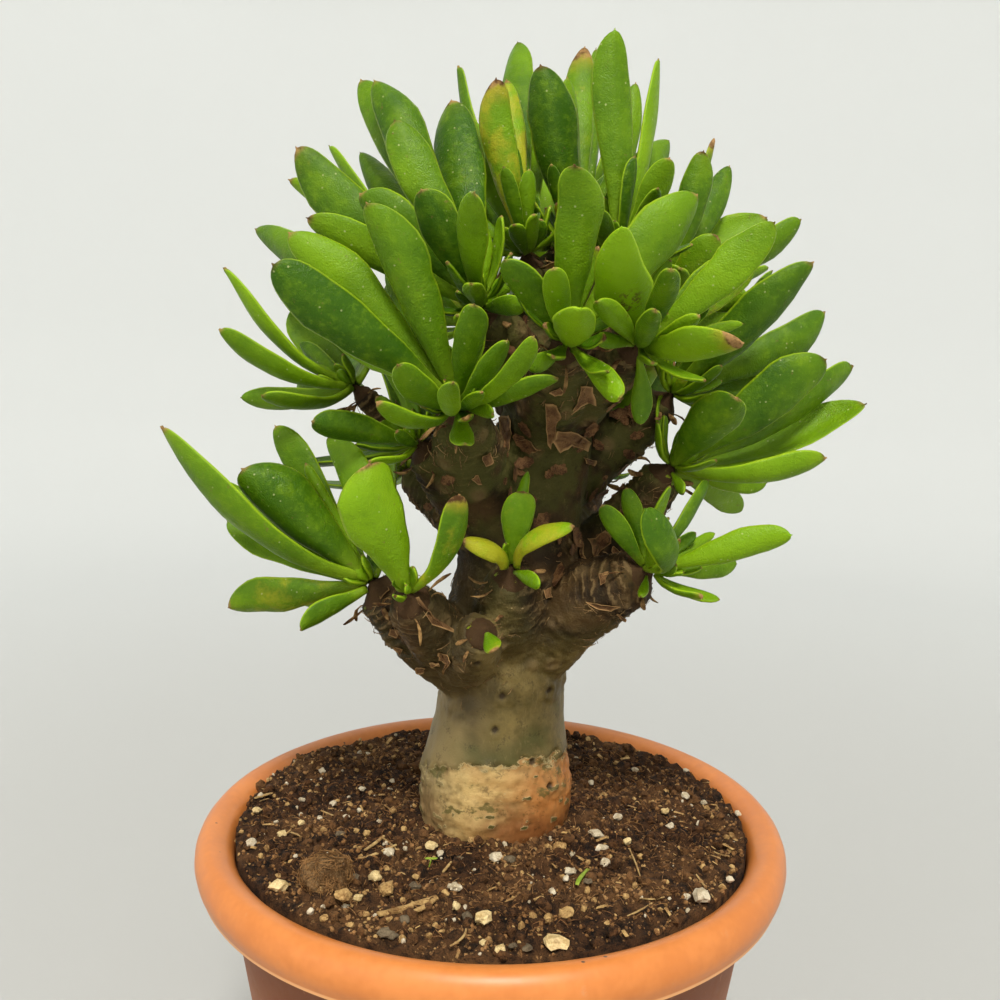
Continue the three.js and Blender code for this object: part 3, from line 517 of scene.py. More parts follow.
def finish_piece(obj, slot, material, *nodes):
    obj.data.materials.clear()
    obj.data.materials.append(material)
    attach(obj, "root")
    if nodes:
        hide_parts(*nodes)
    triangles = sum(len(p.vertices) - 2 for p in obj.data.polygons)
    print(f"{obj.name}: {triangles} triangles")


# %% [markdown]
# ## Material helpers
# A material is a tree of nodes. The helpers all build in the tree that was opened last, so that a
# recipe reads as plain sums. `add` makes a node and fills in or joins its inputs in one line.

# %% Node helpers
tree = where = None


def fill(inputs, values):
    for key, value in values.items():
        if isinstance(value, bpy.types.NodeSocket):
            tree.links.new(value, inputs[key])
        else:
            inputs[key].default_value = value


def add(kind, inputs=None, **settings):
    node = tree.nodes.new(kind)
    for key, value in settings.items():
        setattr(node, key, value)
    fill(node.inputs, inputs or {})
    return node


def maths(operation, a, b=0.0):
    return add("ShaderNodeMath", {0: a, 1: b}, operation=operation).outputs[0]


def times(a, b):
    return maths("MULTIPLY", a, b)


def plus(a, b):
    return maths("ADD", a, b)


def minus(a, b):
    return maths("SUBTRACT", a, b)


def ramp(value, low, high, out_low=0.0, out_high=1.0):
    return add("ShaderNodeMapRange", {0: value, 1: low, 2: high, 3: out_low, 4: out_high},
               interpolation_type="SMOOTHSTEP").outputs[0]


def vector_maths(operation, vector, other=None, output="Vector"):
    inputs = {0: vector} if other is None else {0: vector, 1: other}
    return add("ShaderNodeVectorMath", inputs, operation=operation).outputs[output]


# %% [markdown]
# The next helpers make patterns and colours. `patches` is a mask of soft blots, `specks` one of
# small round dots, and `coats` lays colours over one another, each as strong as its mask says.

# %% Pattern helpers
def noise_of(scale, detail=3.0, rough=0.5, at=None):
    return add("ShaderNodeTexNoise", {"Vector": at or where, "Scale": scale, "Detail": detail,
                                      "Roughness": rough}).outputs["Fac"]


def patches(scale, detail, low, high, least=0.0, most=1.0, rough=0.5, at=None):
    return ramp(noise_of(scale, detail, rough, at), low, high, least, most)


def specks(scale, inside, outside, rare, rarest):
    cells = add("ShaderNodeTexVoronoi", {"Vector": where, "Scale": scale})
    chance = add("ShaderNodeSeparateColor", {0: cells.outputs["Color"]}).outputs[0]
    return times(ramp(cells.outputs["Distance"], inside, outside, 1.0, 0.0), ramp(chance, rare, rarest))


def xyz(vector):
    return add("ShaderNodeSeparateXYZ", {0: vector}).outputs


def stretched(x, y, z):
    return vector_maths("MULTIPLY", where, (x, y, z))


def from_mesh(name, output="Fac"):
    return add("ShaderNodeAttribute", attribute_name=name).outputs[output]


def mix(mask, under, over):
    node = add("ShaderNodeMix", {0: mask}, data_type="RGBA")
    fill(node.inputs, {6: under if isinstance(under, bpy.types.NodeSocket) else (*under, 1),
                       7: over if isinstance(over, bpy.types.NodeSocket) else (*over, 1)})
    return node.outputs[2]


def coats(colour, *masks_and_colours):
    for mask, coat in masks_and_colours:
        colour = mix(mask, colour, coat)
    return colour


def new_material(name, **plain):
    global tree, where
    material = bpy.data.materials.new(name)
    material.use_nodes = True
    tree = material.node_tree
    shader = tree.nodes["Principled BSDF"].inputs
    fill(shader, {socket.replace("_", " "): value for socket, value in plain.items()})
    where = add("ShaderNodeTexCoord").outputs["Object"]
    return material, shader


# %% [markdown]
# Grain is a shared effect: a mask of fine mottling at two sizes, and a normal that follows it. It
# is a group with named inputs, built once, that most of the materials use.

# %% The grain group
grain = tree = bpy.data.node_groups.new("grain", "ShaderNodeTree")
for socket, kind in {"Vector": "Vector", "Scale": "Float", "Strength": "Float"}.items():
    grain.interface.new_socket(socket, in_out="INPUT", socket_type=f"NodeSocket{kind}")
for socket, kind in {"Mask": "Float", "Normal": "Vector"}.items():
    grain.interface.new_socket(socket, in_out="OUTPUT", socket_type=f"NodeSocket{kind}")
given = add("NodeGroupInput").outputs
broad = noise_of(given["Scale"], 4, at=given["Vector"])
fine = noise_of(times(given["Scale"], 7), 1, at=given["Vector"])
both = plus(times(broad, 0.65), times(fine, 0.35))
bumped = add("ShaderNodeBump", {"Strength": given["Strength"], "Distance": 0.001, "Height": both})
fill(add("NodeGroupOutput").inputs, {"Mask": both, "Normal": bumped.outputs[0]})


def use_grain(scale, strength):
    node = add("ShaderNodeGroup", node_tree=grain)
    fill(node.inputs, {"Vector": where, "Scale": scale, "Strength": strength})
    return node.outputs["Mask"], node.outputs["Normal"]


# %% [markdown]
# ## The pot
# The pot is one section spun round, as it is moulded. It has a smooth rolled rim with a thin lip under
# it. The base, with its drain holes, is what such a pot has.

# %% Pot section
POT_RADIUS, WALL, BASE_RADIUS, BASE_THICK = 125, 3, 84, 4
RIM_TOP = POT_HEIGHT
POT_OUTSIDE = [
    [0.01, 0.8], [62, 0.8], [64, 0], [BASE_RADIUS - 3, 0], [BASE_RADIUS - 0.8, 0.9],
    [BASE_RADIUS, 3], [102.5, 115], [108.2, 150], [111.2, RIM_TOP - 19], [111.6, RIM_TOP - 15],
    [112.4, RIM_TOP - 13.8], [114.5, RIM_TOP - 13.4], [121.2, RIM_TOP - 14.4],
    [121.7, RIM_TOP - 17.2], [122.2, RIM_TOP - 17.5], [122.7, RIM_TOP - 17.2],
    [123, RIM_TOP - 15.2], [124.3, RIM_TOP - 13], [POT_RADIUS, RIM_TOP - 9.5],
    [124.7, RIM_TOP - 6.3], [123.5, RIM_TOP - 3.4], [121.6, RIM_TOP - 1.2], [119.4, RIM_TOP - 0.1],
]
POT_INSIDE = [
    [117, RIM_TOP - 0.3], [114.6, RIM_TOP - 1.2], [112.4, RIM_TOP - 2.6], [110.6, RIM_TOP - 4.6],
    [109.2, RIM_TOP - 8], [109, RIM_TOP - 16], [99.3, 115], [BASE_RADIUS - WALL, BASE_THICK + 3],
    [BASE_RADIUS - WALL - 3, BASE_THICK], [0.01, BASE_THICK],
]
POT_SIDES = 180
DRAIN_COUNT, DRAIN_RADIUS, DRAIN_RING = 6, 5.5, 50


def spin(name, section, sides):
    section = np.array(section, dtype=float)
    angles = 2 * math.pi * np.arange(sides) / sides
    points = np.stack([section[:, None, 0] * np.cos(angles), section[:, None, 0] * np.sin(angles),
                       np.repeat(section[:, None, 1], sides, 1)], -1).reshape(-1, 3)
    spun = make_object(name, points, grid_faces(len(section), sides))
    spun.data.set_sharp_from_angle(angle=math.radians(38))
    return spun


pot = spin("pot_fine", POT_OUTSIDE + POT_INSIDE, POT_SIDES)
drills = []
for i in range(DRAIN_COUNT):
    angle = 2 * math.pi * i / DRAIN_COUNT
    drill = spin("drill", [[DRAIN_RADIUS, -5], [DRAIN_RADIUS, BASE_THICK + 5]], 32)
    drill.location = (DRAIN_RING * MM * math.cos(angle), DRAIN_RING * MM * math.sin(angle), 0)
    cut = pot.modifiers.new("drain", "BOOLEAN")
    cut.operation, cut.object, cut.solver = "DIFFERENCE", drill, "EXACT"
    drills.append(drill)
apply_modifiers(pot)
for drill in drills:
    bpy.data.objects.remove(drill)

# %% [markdown]
# Its plastic is a satin terracotta orange, very slightly mottled, with dust and specks of soil. Below
# the rim it carries painted shade, darkest just under the rim, and a pale line along the lip is a
# painted highlight.

# %% Pot material
plastic, shader = new_material("terracotta_plastic", Roughness=0.42, Specular_IOR_Level=0.4)
mask, normal = use_grain(35, 0.06)
height = xyz(where)[2]
from_axis = vector_maths("LENGTH", stretched(1, 1, 0), output="Value")
body = times(ramp(from_axis, 0.1195, 0.1170), ramp(height, 0.179, 0.177))
off_line = maths("ABSOLUTE", minus(height, 0.1733))
colour = coats(
    mix(ramp(mask, 0.35, 0.65), (0.545, 0.172, 0.036), (0.620, 0.208, 0.048)),
    # painted shade under the rim, fading towards the base
    (times(body, ramp(height, 0.070, 0.172, 0.1, 1.0)), (0.160, 0.044, 0.012)),
    # painted highlight: a pale line where light catches the lip
    (times(ramp(off_line, 0.0011, 0.0004, 0.0, 0.65), ramp(from_axis, 0.119, 0.121)),
     (0.85, 0.46, 0.20)),
    (patches(140, 5, 0.6, 0.78, most=0.35, rough=0.7), (0.50, 0.27, 0.15)),
    (specks(130, 0.07, 0.11, 0.93, 0.94), (0.10, 0.05, 0.03)))
gloss = plus(ramp(mask, 0.3, 0.7, 0.33, 0.45), times(body, 0.2))
fill(shader, {"Base Color": colour, "Roughness": gloss, "Normal": normal})
finish_piece(pot, "pot", plastic, "pot")

# %% [markdown]
# ## The wood
# Each branch is a round tube along its line. All tubes together are remeshed into one skin, which
# softens the forks as living bark does. A pull along the surface then gives it wrinkles, scars,
# rings and pits.

# %% Tubes into one skin
TRUNK_SPANS, FINE_SPANS, TUBE_SIDES = 4, 8, 28
ROUNDED_END = ((0.5, 0.97), (1.2, 0.85), (1.6, 0.5))
SKIN_VOXEL, SKIN_ROUNDS = 1.4, 7
wood_lines = {"trunk": root_line + limb_line(TRUNK, TRUNK_SPANS)}
wood_lines |= {name: limb_line(places, FINE_SPANS) for name, places in LIMBS.items()}


def tube(line, sides):
    across = square_to(line[0][1])[0]
    rings = []
    angles = 2 * math.pi * np.arange(sides)[:, None] / sides
    for point, along, radius in line:
        across = unit(across - along * (across @ along))
        over = np.cross(along, across)
        rings.append(point + radius * (across * np.cos(angles) + over * np.sin(angles)))
    return np.concatenate(rings)


points, faces = [], []
for line in wood_lines.values():
    first = sum(map(len, points))
    end, along, radius = line[-1]
    rounded = [(end + along * rise, along, radius * share) for rise, share in ROUNDED_END]
    points.append(tube(line + rounded, TUBE_SIDES))
    faces += grid_faces(len(line + rounded), TUBE_SIDES, first)
trunk = make_object("trunk_bark", np.concatenate(points), faces)
skin = trunk.modifiers.new("skin", "REMESH")
skin.mode, skin.voxel_size, skin.use_smooth_shade = "VOXEL", SKIN_VOXEL * MM, True
soften = trunk.modifiers.new("soften", "SMOOTH")
soften.factor, soften.iterations = 0.5, SKIN_ROUNDS
apply_modifiers(trunk)
print(len(trunk.data.vertices), "points on the wood")

# %% [markdown]
# For the relief, each point of the skin looks up the nearest place on a branch's line: how far it
# is from the tip and how thick the branch is there. Scars sit in the same spiral as leaves do. Low
# on the caudex the thin outer skin has peeled: it ends in a ragged lip, islands of it are left, and
# the layer below is cracked across.

# %% Bark relief
SCAR_SPACING, SCAR_SIZE, SCAR_HEIGHT, SCARRED_LENGTH = 5.2, 3.4, 1.1, 75
PEEL_HEIGHT, PEEL_DEPTH, PEEL_RIGHT, PEEL_FRONT = 214, 0.8, 0.12, 0.26
PIT_MARKS = [(493, 732), (552, 690), (502, 698), (478, 668), (536, 762), (553, 787)]
samples, scars = [], []
for name, line in wood_lines.items():
    length, place = 0.0, 0.0
    for i in range(len(line) - 1, 0, -1):
        (start, along, r0), (end, _, r1) = line[i - 1], line[i]
        gap = np.linalg.norm(end - start)
        for share in np.arange(0, 1, 0.25):
            samples.append((end + (start - end) * share, length + gap * share, name == "trunk"))
        place += gap
        while place > SCAR_SPACING and length < SCARRED_LENGTH and name != "trunk":
            place -= SCAR_SPACING
            first, second = square_to(along)
            angle = len(scars) * GOLDEN_ANGLE
            scars.append(start + (first * math.cos(angle) + second * math.sin(angle)) * (r0 + r1) / 2)
        length += gap
nearest, nearest_scar = kdtree.KDTree(len(samples)), kdtree.KDTree(len(scars))
for i, (point, _, _) in enumerate(samples):
    nearest.insert(point, i)
for i, point in enumerate(scars):
    nearest_scar.insert(point, i)
nearest.balance()
nearest_scar.balance()


def smooth(value, low, high):
    t = min(max((value - low) / (high - low), 0), 1)
    return t * t * (3 - 2 * t)


count = len(trunk.data.vertices)
places, normals = np.empty(count * 3, np.float32), np.empty(count * 3, np.float32)
trunk.data.vertices.foreach_get("co", places)
trunk.data.vertices.foreach_get("normal", normals)
places, normals = places.reshape(-1, 3) / MM, normals.reshape(-1, 3)


def on_skin(across, down):
    way = unit(seen(across, down, 0) - EYE)
    along = (places - EYE) @ way
    off = np.linalg.norm(places - EYE - along[:, None] * way, axis=1)
    return places[np.where(off < 1.2, along, np.inf).argmin()]


pits = [on_skin(*mark) for mark in PIT_MARKS]
scarred, pull, from_tip, peeled, cracked, ringed, pitted = (np.zeros(count) for _ in range(7))
for i, spot in enumerate(places):
    v = Vector(spot)
    _, index, _ = nearest.find(v)
    _, reach, on_trunk = samples[index]
    _, _, apart = nearest_scar.find(v)
    lumps = noise.noise(v * 0.045) * 0.9 + noise.noise(v * 0.13) * 0.35
    old = smooth(v.z, 250, 300) if on_trunk else 1.0
    wrinkle = abs(noise.noise(Vector((v.x * 0.05, v.y * 0.05, reach * 0.5)))) * 1.2
    rough = noise.fractal(v * 0.30, 0.8, 2.0, 3) * 0.4
    ring = math.exp(-((apart - SCAR_SIZE * 0.75) / 0.9) ** 2) - 0.7 * math.exp(-(apart / 1.6) ** 2)
    pull[i] = lumps - wrinkle * old + rough * (0.12 + 0.88 * old) + ring * SCAR_HEIGHT * old
    if not on_trunk:
        here = smooth(noise.noise(v * 0.07 + Vector((3, 3, 3))), -0.35, 0.2)
        fade = (1 - smooth(reach, 16, 42)) * here
        ringed[i] = math.sin(reach * 1.7 + 7 * noise.noise(v * 0.06) + 2 * noise.noise(v * 0.2)) * fade
        pull[i] += 0.42 * ringed[i]
    if v.z < 240:
        ragged = (4 * noise.noise(v * 0.05) + 4 * noise.noise(v * 0.16 + Vector((9, 0, 0)))
                  + 1.5 * noise.noise(v * 0.6))
        edge = PEEL_HEIGHT + PEEL_RIGHT * v.x - PEEL_FRONT * min(v.y, 0) + ragged
        island = smooth(noise.noise(Vector((v.x * 0.12, v.y * 0.12, v.z * 0.4))), 0.44, 0.52)
        bare = smooth(edge - v.z, -1.2, 1.2) * (1 - island)
        lip = math.exp(-((v.z - edge) / 1.3) ** 2) * (0.4 + noise.noise(v * 0.2))
        broad_crack = abs(noise.noise(Vector((v.x * 0.055, v.y * 0.055, v.z * 0.30))))
        fine_crack = abs(noise.noise(Vector((v.x * 0.11, v.y * 0.11, v.z * 0.6 + 7))))
        split = 1 - smooth(broad_crack, 0.0, 0.09) + 0.6 * (1 - smooth(fine_crack, 0.0, 0.09))
        crust = noise.fractal(v * 0.2, 0.7, 2.0, 4) * 0.55
        pull[i] += lip * 0.9 + bare * (crust - PEEL_DEPTH - 0.6 * split)
        peeled[i] = smooth(edge - v.z, -5, 5) * (1 - island)
        cracked[i] = min(split * bare + max(lip, 0) * 0.5, 1)
    for pit in pits:
        away = np.linalg.norm(spot - pit)
        if away < 6:
            pull[i] += 0.6 * math.exp(-((away - 2.6) / 0.9) ** 2) - 1.5 * math.exp(-(away / 1.5) ** 2)
            pitted[i] = max(pitted[i], math.exp(-(away / 1.5) ** 2))
    scarred[i], from_tip[i] = math.exp(-(apart / SCAR_SIZE) ** 4) * old, reach
places += normals * pull[:, None]
trunk.data.vertices.foreach_set("co", (places * MM).ravel())
for layer, values in {"scarred": scarred, "peeled": peeled, "cracked": cracked, "ringed": ringed,
                      "pitted": pitted}.items():
    set_layer(trunk.data, layer, values)
trunk.data.update()
print(len(scars), "leaf scars,", len(pits), "pits")

# %% [markdown]
# Bark changes with height. At the soil it has peeled to tan and orange with green flecks, above
# that it is a smooth olive skin, and on the old branches it is dark brown with paler scars and
# rings. We start with the masks.

# %% Bark masks
bark, shader = new_material("bark", Roughness=0.6, Specular_IOR_Level=0.2)
east, _, height = xyz(where)
level = plus(height, times(minus(noise_of(28, 4, 0.65), 0.5), 0.06))
mask, normal = use_grain(170, ramp(level, 0.235, 0.29, 0.22, 1.0))
blotch = noise_of(55, 5, 0.6)
flat, streaky = stretched(0.55, 0.55, 1.7), stretched(0.85, 0.85, 1.6)
upright = stretched(2.2, 2.2, 0.45)
rings = plus(from_mesh("ringed"), times(noise_of(260, 4, 0.7), 1.6))
off_ledge = maths("ABSOLUTE", minus(level, 0.204))
ledge = plus(ramp(off_ledge, 0.0045, 0.0, 0.0, 0.14), ramp(level, 0.210, 0.221, -0.03, 0.13))
# painted sheen: a paler patch on the left of the upper trunk, where light falls
painted_sheen_left = times(ramp(level, 0.275, 0.245), ramp(east, 0.004, -0.014))
mossy = times(ramp(level, 0.244, 0.228), patches(34, 3, 0.40, 0.56))
rusty = plus(ramp(east, -0.002, 0.022, 0.0, 0.9), patches(30, 3, 0.54, 0.70, most=0.45))
aside = plus(ramp(east, -0.022, -0.034, -0.016, 0.022), ramp(east, 0.004, 0.018, 0.0, 0.022))
torn = plus(from_mesh("peeled"), times(minus(noise_of(150, 6, 0.75, streaky), 0.5), 2.2))

# %% [markdown]
# Then each of the three skins gets its coats, and the whole is put together from the top down.

# %% Bark material
olive = coats(
    mix(ramp(blotch, 0.36, 0.64), (0.062, 0.043, 0.0105), (0.168, 0.120, 0.038)),
    (patches(16, 3, 0.44, 0.64, most=0.75), (0.056, 0.048, 0.011)),
    # painted sheen on the left of the upper trunk
    (times(patches(26, 3, 0.42, 0.58, 0.1, 0.8), painted_sheen_left), (0.250, 0.180, 0.074)),
    (times(mossy, ramp(east, -0.022, -0.006, 0.1, 0.65)), (0.060, 0.062, 0.014)),
    # painted shade under the left limb
    (times(ramp(level, 0.238, 0.250), ramp(east, -0.001, -0.011, 0.0, 0.75)), (0.040, 0.026, 0.009)),
    (patches(150, 5, 0.56, 0.70, most=0.4, rough=0.75, at=upright), (0.215, 0.165, 0.068)))
tan = coats(
    mix(ramp(noise_of(80, 5, 0.7, flat), 0.34, 0.62), (0.340, 0.212, 0.070), (0.580, 0.410, 0.165)),
    (maths("MINIMUM", rusty, 0.9), (0.390, 0.140, 0.033)),
    # painted shade on the left side of the peeled base
    (ramp(east, -0.009, -0.028, 0.0, 0.75), (0.190, 0.142, 0.068)),
    (times(ramp(level, 0.213, 0.196, 0.0, 0.9), ramp(east, -0.016, 0.006, 0.15, 1.0)),
     (0.185, 0.064, 0.018)),
    (ramp(level, 0.212, 0.224, 0.0, 0.40), (0.240, 0.180, 0.070)),
    (ramp(plus(noise_of(85, 6, 0.75, streaky), ledge), 0.63, 0.71, 0.0, 0.8), (0.085, 0.078, 0.020)),
    (patches(260, 4, 0.63, 0.73, most=0.5, rough=0.8, at=streaky), (0.110, 0.065, 0.022)))
old_green = times(ramp(level, 0.300, 0.330), patches(45, 3, 0.40, 0.52))
old = coats(
    mix(ramp(blotch, 0.36, 0.64), (0.0155, 0.0082, 0.0022), (0.060, 0.0325, 0.0092)),
    (patches(22, 3, 0.5, 0.62, most=0.65), (0.034, 0.030, 0.0060)),
    (patches(75, 5, 0.60, 0.68, most=0.7, rough=0.7), (0.115, 0.053, 0.0165)),
    (ramp(rings, 1.05, 1.75, 0.0, 0.7), (0.185, 0.120, 0.050)),
    (ramp(rings, 0.45, -0.25, 0.0, 0.8), (0.013, 0.008, 0.0025)),
    (times(old_green, 0.75), (0.062, 0.062, 0.011)))
off_lip = maths("ABSOLUTE", minus(torn, 0.56))
colour = coats(
    olive,
    (ramp(plus(level, aside), 0.264, 0.298), old),
    (ramp(torn, 0.36, 0.62), tan),
    (ramp(off_lip, 0.13, 0.02, 0.0, 0.6), (0.470, 0.390, 0.200)),
    (times(from_mesh("scarred"), 0.5), (0.185, 0.118, 0.048)),
    (ramp(mask, 0.56, 0.72, 0.0, 0.32), (0.190, 0.130, 0.048)),
    (ramp(mask, 0.44, 0.32, 0.0, 0.5), (0.018, 0.011, 0.0035)),
    (times(from_mesh("cracked"), 0.4), (0.060, 0.034, 0.010)),
    (ramp(from_mesh("pitted"), 0.15, 0.6, 0.0, 0.9), (0.022, 0.012, 0.004)))
fill(shader, {"Base Color": colour, "Roughness": ramp(level, 0.25, 0.31, 0.45, 0.8), "Normal": normal})
finish_piece(trunk, "bark", bark, "trunk")

# %% [markdown]
# ## Leaves
# A finer leaf follows the same midrib and outline as its CAD blade. Its section is a lens with
# rounded edges, cupped on the upper side. Every leaf gets a small sideways sway and twist, so that
# no two are alike. A few large leaves have their own outline, by their tip's pixel: how blunt the
# end is, how wide the foot, and where it is widest. Two vectors ride along for the material: the
# place on the leaf, and the leaf's mood (tint, yellow, dead tip).

# %% One fine leaf
POINTED = {
    (610, 234): 1.7, (772, 223): 1.5, (808, 259): 1.5, (590, 166): 2.4, (578, 312): 2.2,
    (738, 335): 1.6, (269, 271): 2.4, (297, 225): 1.7, (378, 200): 2.0, (357, 471): 2.6,
    (386, 70): 1.6, (159, 430): 1.6,
}
STUBBY = {
    (610, 234): 0.75, (463, 541): 0.9, (573, 526): 0.8, (522, 492): 0.6, (460, 496): 0.5,
    (578, 312): 0.7,
}
WIDEST = {
    (610, 234): 0.52, (578, 312): 0.62, (738, 335): 0.68, (808, 259): 0.68, (463, 541): 0.6,
    (573, 526): 0.64,
}
STATIONS = np.concatenate([np.linspace(0, 0.9, 15), [0.935, 0.962, 0.981, 0.993, 1.0, 1.01]])
SECTION = 2 * math.pi * np.arange(14) / 14
SECTION_WIDE = np.sign(np.cos(SECTION)) * np.abs(np.cos(SECTION)) ** 0.9
SECTION_HIGH = np.sign(np.sin(SECTION)) * np.abs(np.sin(SECTION)) ** 0.42


def fine_outline(share, blunt, stubby, widest):
    if share < widest:
        share *= LEAF_WIDEST / widest
    else:
        share = LEAF_WIDEST + (share - widest) * (1 - LEAF_WIDEST) / (1 - widest)
    past = np.clip((share - LEAF_WIDEST) / (1 - LEAF_WIDEST), 0, 1)
    if share < LEAF_WIDEST:
        return max(half_width(share), 0.42 * stubby * min(share / 0.15, 1))
    return max(0.5 * math.sqrt(1 - past**blunt), 0.03)


def fine_leaf(leaf, rng, stations):
    long, across = leaf["length"], leaf["width"]
    sway, twist, wave = rng.uniform(-0.03, 0.03) * long, rng.uniform(-0.35, 0.35), rng.uniform(0.1, 0.7)
    phases, plump, cup = rng.uniform(0, 6, 6), rng.uniform(0.8, 1.0), rng.uniform(0.6, 2.6) * LEAF_CUP
    lean, ripple = rng.uniform(-0.08, 0.08), rng.uniform(0.015, 0.045)
    hook, blunt = rng.uniform(-0.03, 0.05) * long, rng.uniform(1.6, 2.8)
    nose, dent_at = rng.uniform(-0.33, 0.33) * across, rng.uniform(0.45, 0.92)
    blunt, stubby = POINTED.get(leaf.get("mark"), blunt), STUBBY.get(leaf.get("mark"), 0)
    widest = WIDEST.get(leaf.get("mark"), LEAF_WIDEST)
    slim = min(long / 60, 1)
    dent, side_dent = rng.uniform(0.0, 0.14) * slim**2, rng.choice([0, 1])
    wave, nose, lean, ripple = wave * slim, nose * slim**2, lean * slim, ripple * slim
    rings, where = [], []
    for share in stations:
        point, upper, wide = midrib(leaf, share)
        half = max(fine_outline(share, blunt, stubby, widest) * across, 0.25)
        if share > 1:
            half = 0.12
        thick = min(max(LEAF_THICK * plump * (0.96 - 0.52 * share), 1.0), 1.5 * half + 0.25)
        thick *= leaf.get("thin", 1)
        turn = twist * share
        side = wide * math.cos(turn) + upper * math.sin(turn)
        face = upper * math.cos(turn) - wide * math.sin(turn)
        sideways = sway * math.sin(math.pi * share) + nose * (max(share - 0.72, 0) / 0.28) ** 2
        middle = point + side * sideways + face * hook * max(share - 0.7, 0) ** 2 * 9
        waves = [math.sin(share * turns + phase) for turns, phase in zip((11, 23, 10, 20), phases)]
        rims = [1 + lean + ripple * (waves[0] + waves[1]), 1 - lean + ripple * (waves[2] + waves[3])]
        rims[side_dent] -= dent * math.exp(-((share - dent_at) / 0.045) ** 2)
        reach = half * SECTION_WIDE * np.where(SECTION_WIDE > 0, rims[0], rims[1])
        rise = (cup * half * 2 * np.abs(SECTION_WIDE) ** 1.5
                + wave * SECTION_WIDE * math.sin(share * 10 + phases[4]) * share
                + 0.25 * wave * math.sin(share * 17 + phases[5]))
        ring = middle + side * reach[:, None] + face * (rise + thick / 2 * SECTION_HIGH)[:, None]
        rings.append(ring)
        where.append(np.stack([SECTION_WIDE, np.full(14, share), SECTION_HIGH * 0.5 + 0.5], -1))
    return np.concatenate(rings), np.concatenate(where)


# %% [markdown]
# The photograph shows some tired leaves: yellow patches, tan or brown tips. `MOODS` marks those by
# their tip's pixel, as (yellow, dead, tint). The others draw theirs, and only a few draw much. A
# leaf whose dead share is 1 or more has withered altogether.

# %% Moods, young leaves and withered ones
MOODS = {
    (226, 605): (0.45, 0.02, 0.4), (463, 541): (0.75, 0.03, 0.7), (573, 526): (0.66, 0.02, 0.7),
    (460, 496): (0.40, 0.05, 0.45), (292, 159): (0.3, 0.02, 0.15), (442, 102): (0.05, 0.02, 0.1),
    (484, 83): (0.5, 0.05, 0.5), (501, 80): (0.6, 0.02, 0.8), (578, 44): (0.3, 0.06, 0.4),
    (717, 139): (0.2, 0.06, 0.4), (738, 335): (0.1, 0.07, 0.75), (718, 237): (0.45, 0.02, 0.6),
    (312, 210): (0.2, 0.02, 0.6), (375, 404): (0.05, 0.02, 0.4), (494, 651): (0.3, 0.05, 0.6),
    (556, 203): (0.9, 0.02, 0.8), (522, 492): (0.25, 0.02, 0.4), (706, 152): (0.1, 0.02, 0.4),
    (537, 584): (0.2, 0.0, 0.6), (159, 430): (0.05, 0.02, 0.5), (357, 471): (0.12, 0.02, 0.8),
    (789, 531): (0.12, 0.0, 0.9), (590, 166): (0.05, 0.01, 0.5), (610, 234): (0.05, 0.0, 1.0),
    (218, 334): (0.1, 0.01, 0.55), (546, 64): (0.05, 0.015, 0.05), (604, 33): (0.05, 0.0, 0.5),
    (578, 312): (0.0, 0.0, 0.75), (269, 271): (0.02, 0.006, 0.05), (297, 225): (0.05, 0.01, 0.55),
    (299, 278): (0.05, 0.01, 0.7), (258, 221): (0.05, 0.01, 0.35), (272, 257): (0.05, 0.01, 0.3),
    (293, 173): (0.1, 0.02, 0.8), (361, 76): (0.05, 0.01, 0.4), (386, 70): (0.05, 0.01, 0.3),
    (392, 121): (0.03, 0.01, 0.35), (424, 190): (0.03, 0.01, 0.1), (378, 200): (0.05, 0.01, 0.4),
    (366, 187): (0.05, 0.01, 0.3), (517, 41): (0.05, 0.01, 0.3), (699, 194): (0.05, 0.01, 0.6),
    (772, 223): (0.05, 0.01, 0.55), (808, 259): (0.03, 0.01, 0.25), (823, 354): (0.03, 0.01, 0.3),
    (857, 366): (0.05, 0.01, 0.45), (861, 402): (0.05, 0.01, 0.6), (738, 399): (0.03, 0.01, 0.25),
    (826, 461): (0.08, 0.02, 0.6), (603, 505): (0.12, 0.01, 0.2), (626, 488): (0.12, 0.01, 0.15),
    (655, 528): (0.08, 0.01, 0.3), (207, 478): (0.08, 0.01, 0.6), (255, 459): (0.03, 0.01, 0.25),
    (280, 425): (0.03, 0.01, 0.4), (338, 432): (0.05, 0.01, 0.5), (300, 629): (0.05, 0.01, 0.35),
    (644, 512): (0.10, 0.0, 0.3),
}
YOUNG_LEAVES = {"left_knob": 0, "front_knob": 2, "low_left_side": 4, "low_left": 5, "left": 5}
WITHERED_LEAVES = {"left_knob": 3, "front_knob": 3}
YOUNG_USUAL, WITHERED_USUAL, WITHERED_THIN, WITHERED_DEAD = 12, 5, 0.35, 1.5
CORE_RINGS = (-3, 0.8), (0.5, 0.82), (1.6, 0.7), (2.8, 0.52), (4.2, 0.34), (5.6, 0.2), (6.5, 0.05)
NARROW_LEAF = 7.5


def young_leaves(shoot, rng):
    first, second = square_to(shoot["axis"])
    small = []
    for i in range(YOUNG_LEAVES.get(shoot["name"], YOUNG_USUAL)):
        turn, spread = i * GOLDEN_ANGLE, 0.2 + 0.11 * i
        way = unit(shoot["axis"] + spread * (first * math.cos(turn) + second * math.sin(turn)))
        tip = shoot["middle"] + way * (10 + 2.0 * i + rng.uniform(-1, 3))
        width = rng.uniform(3.4, 5.0) + 0.25 * i
        small.append(leaf_from(shoot, tip, width, shoot["axis"] - way * 0.5, 0.1))
    return small


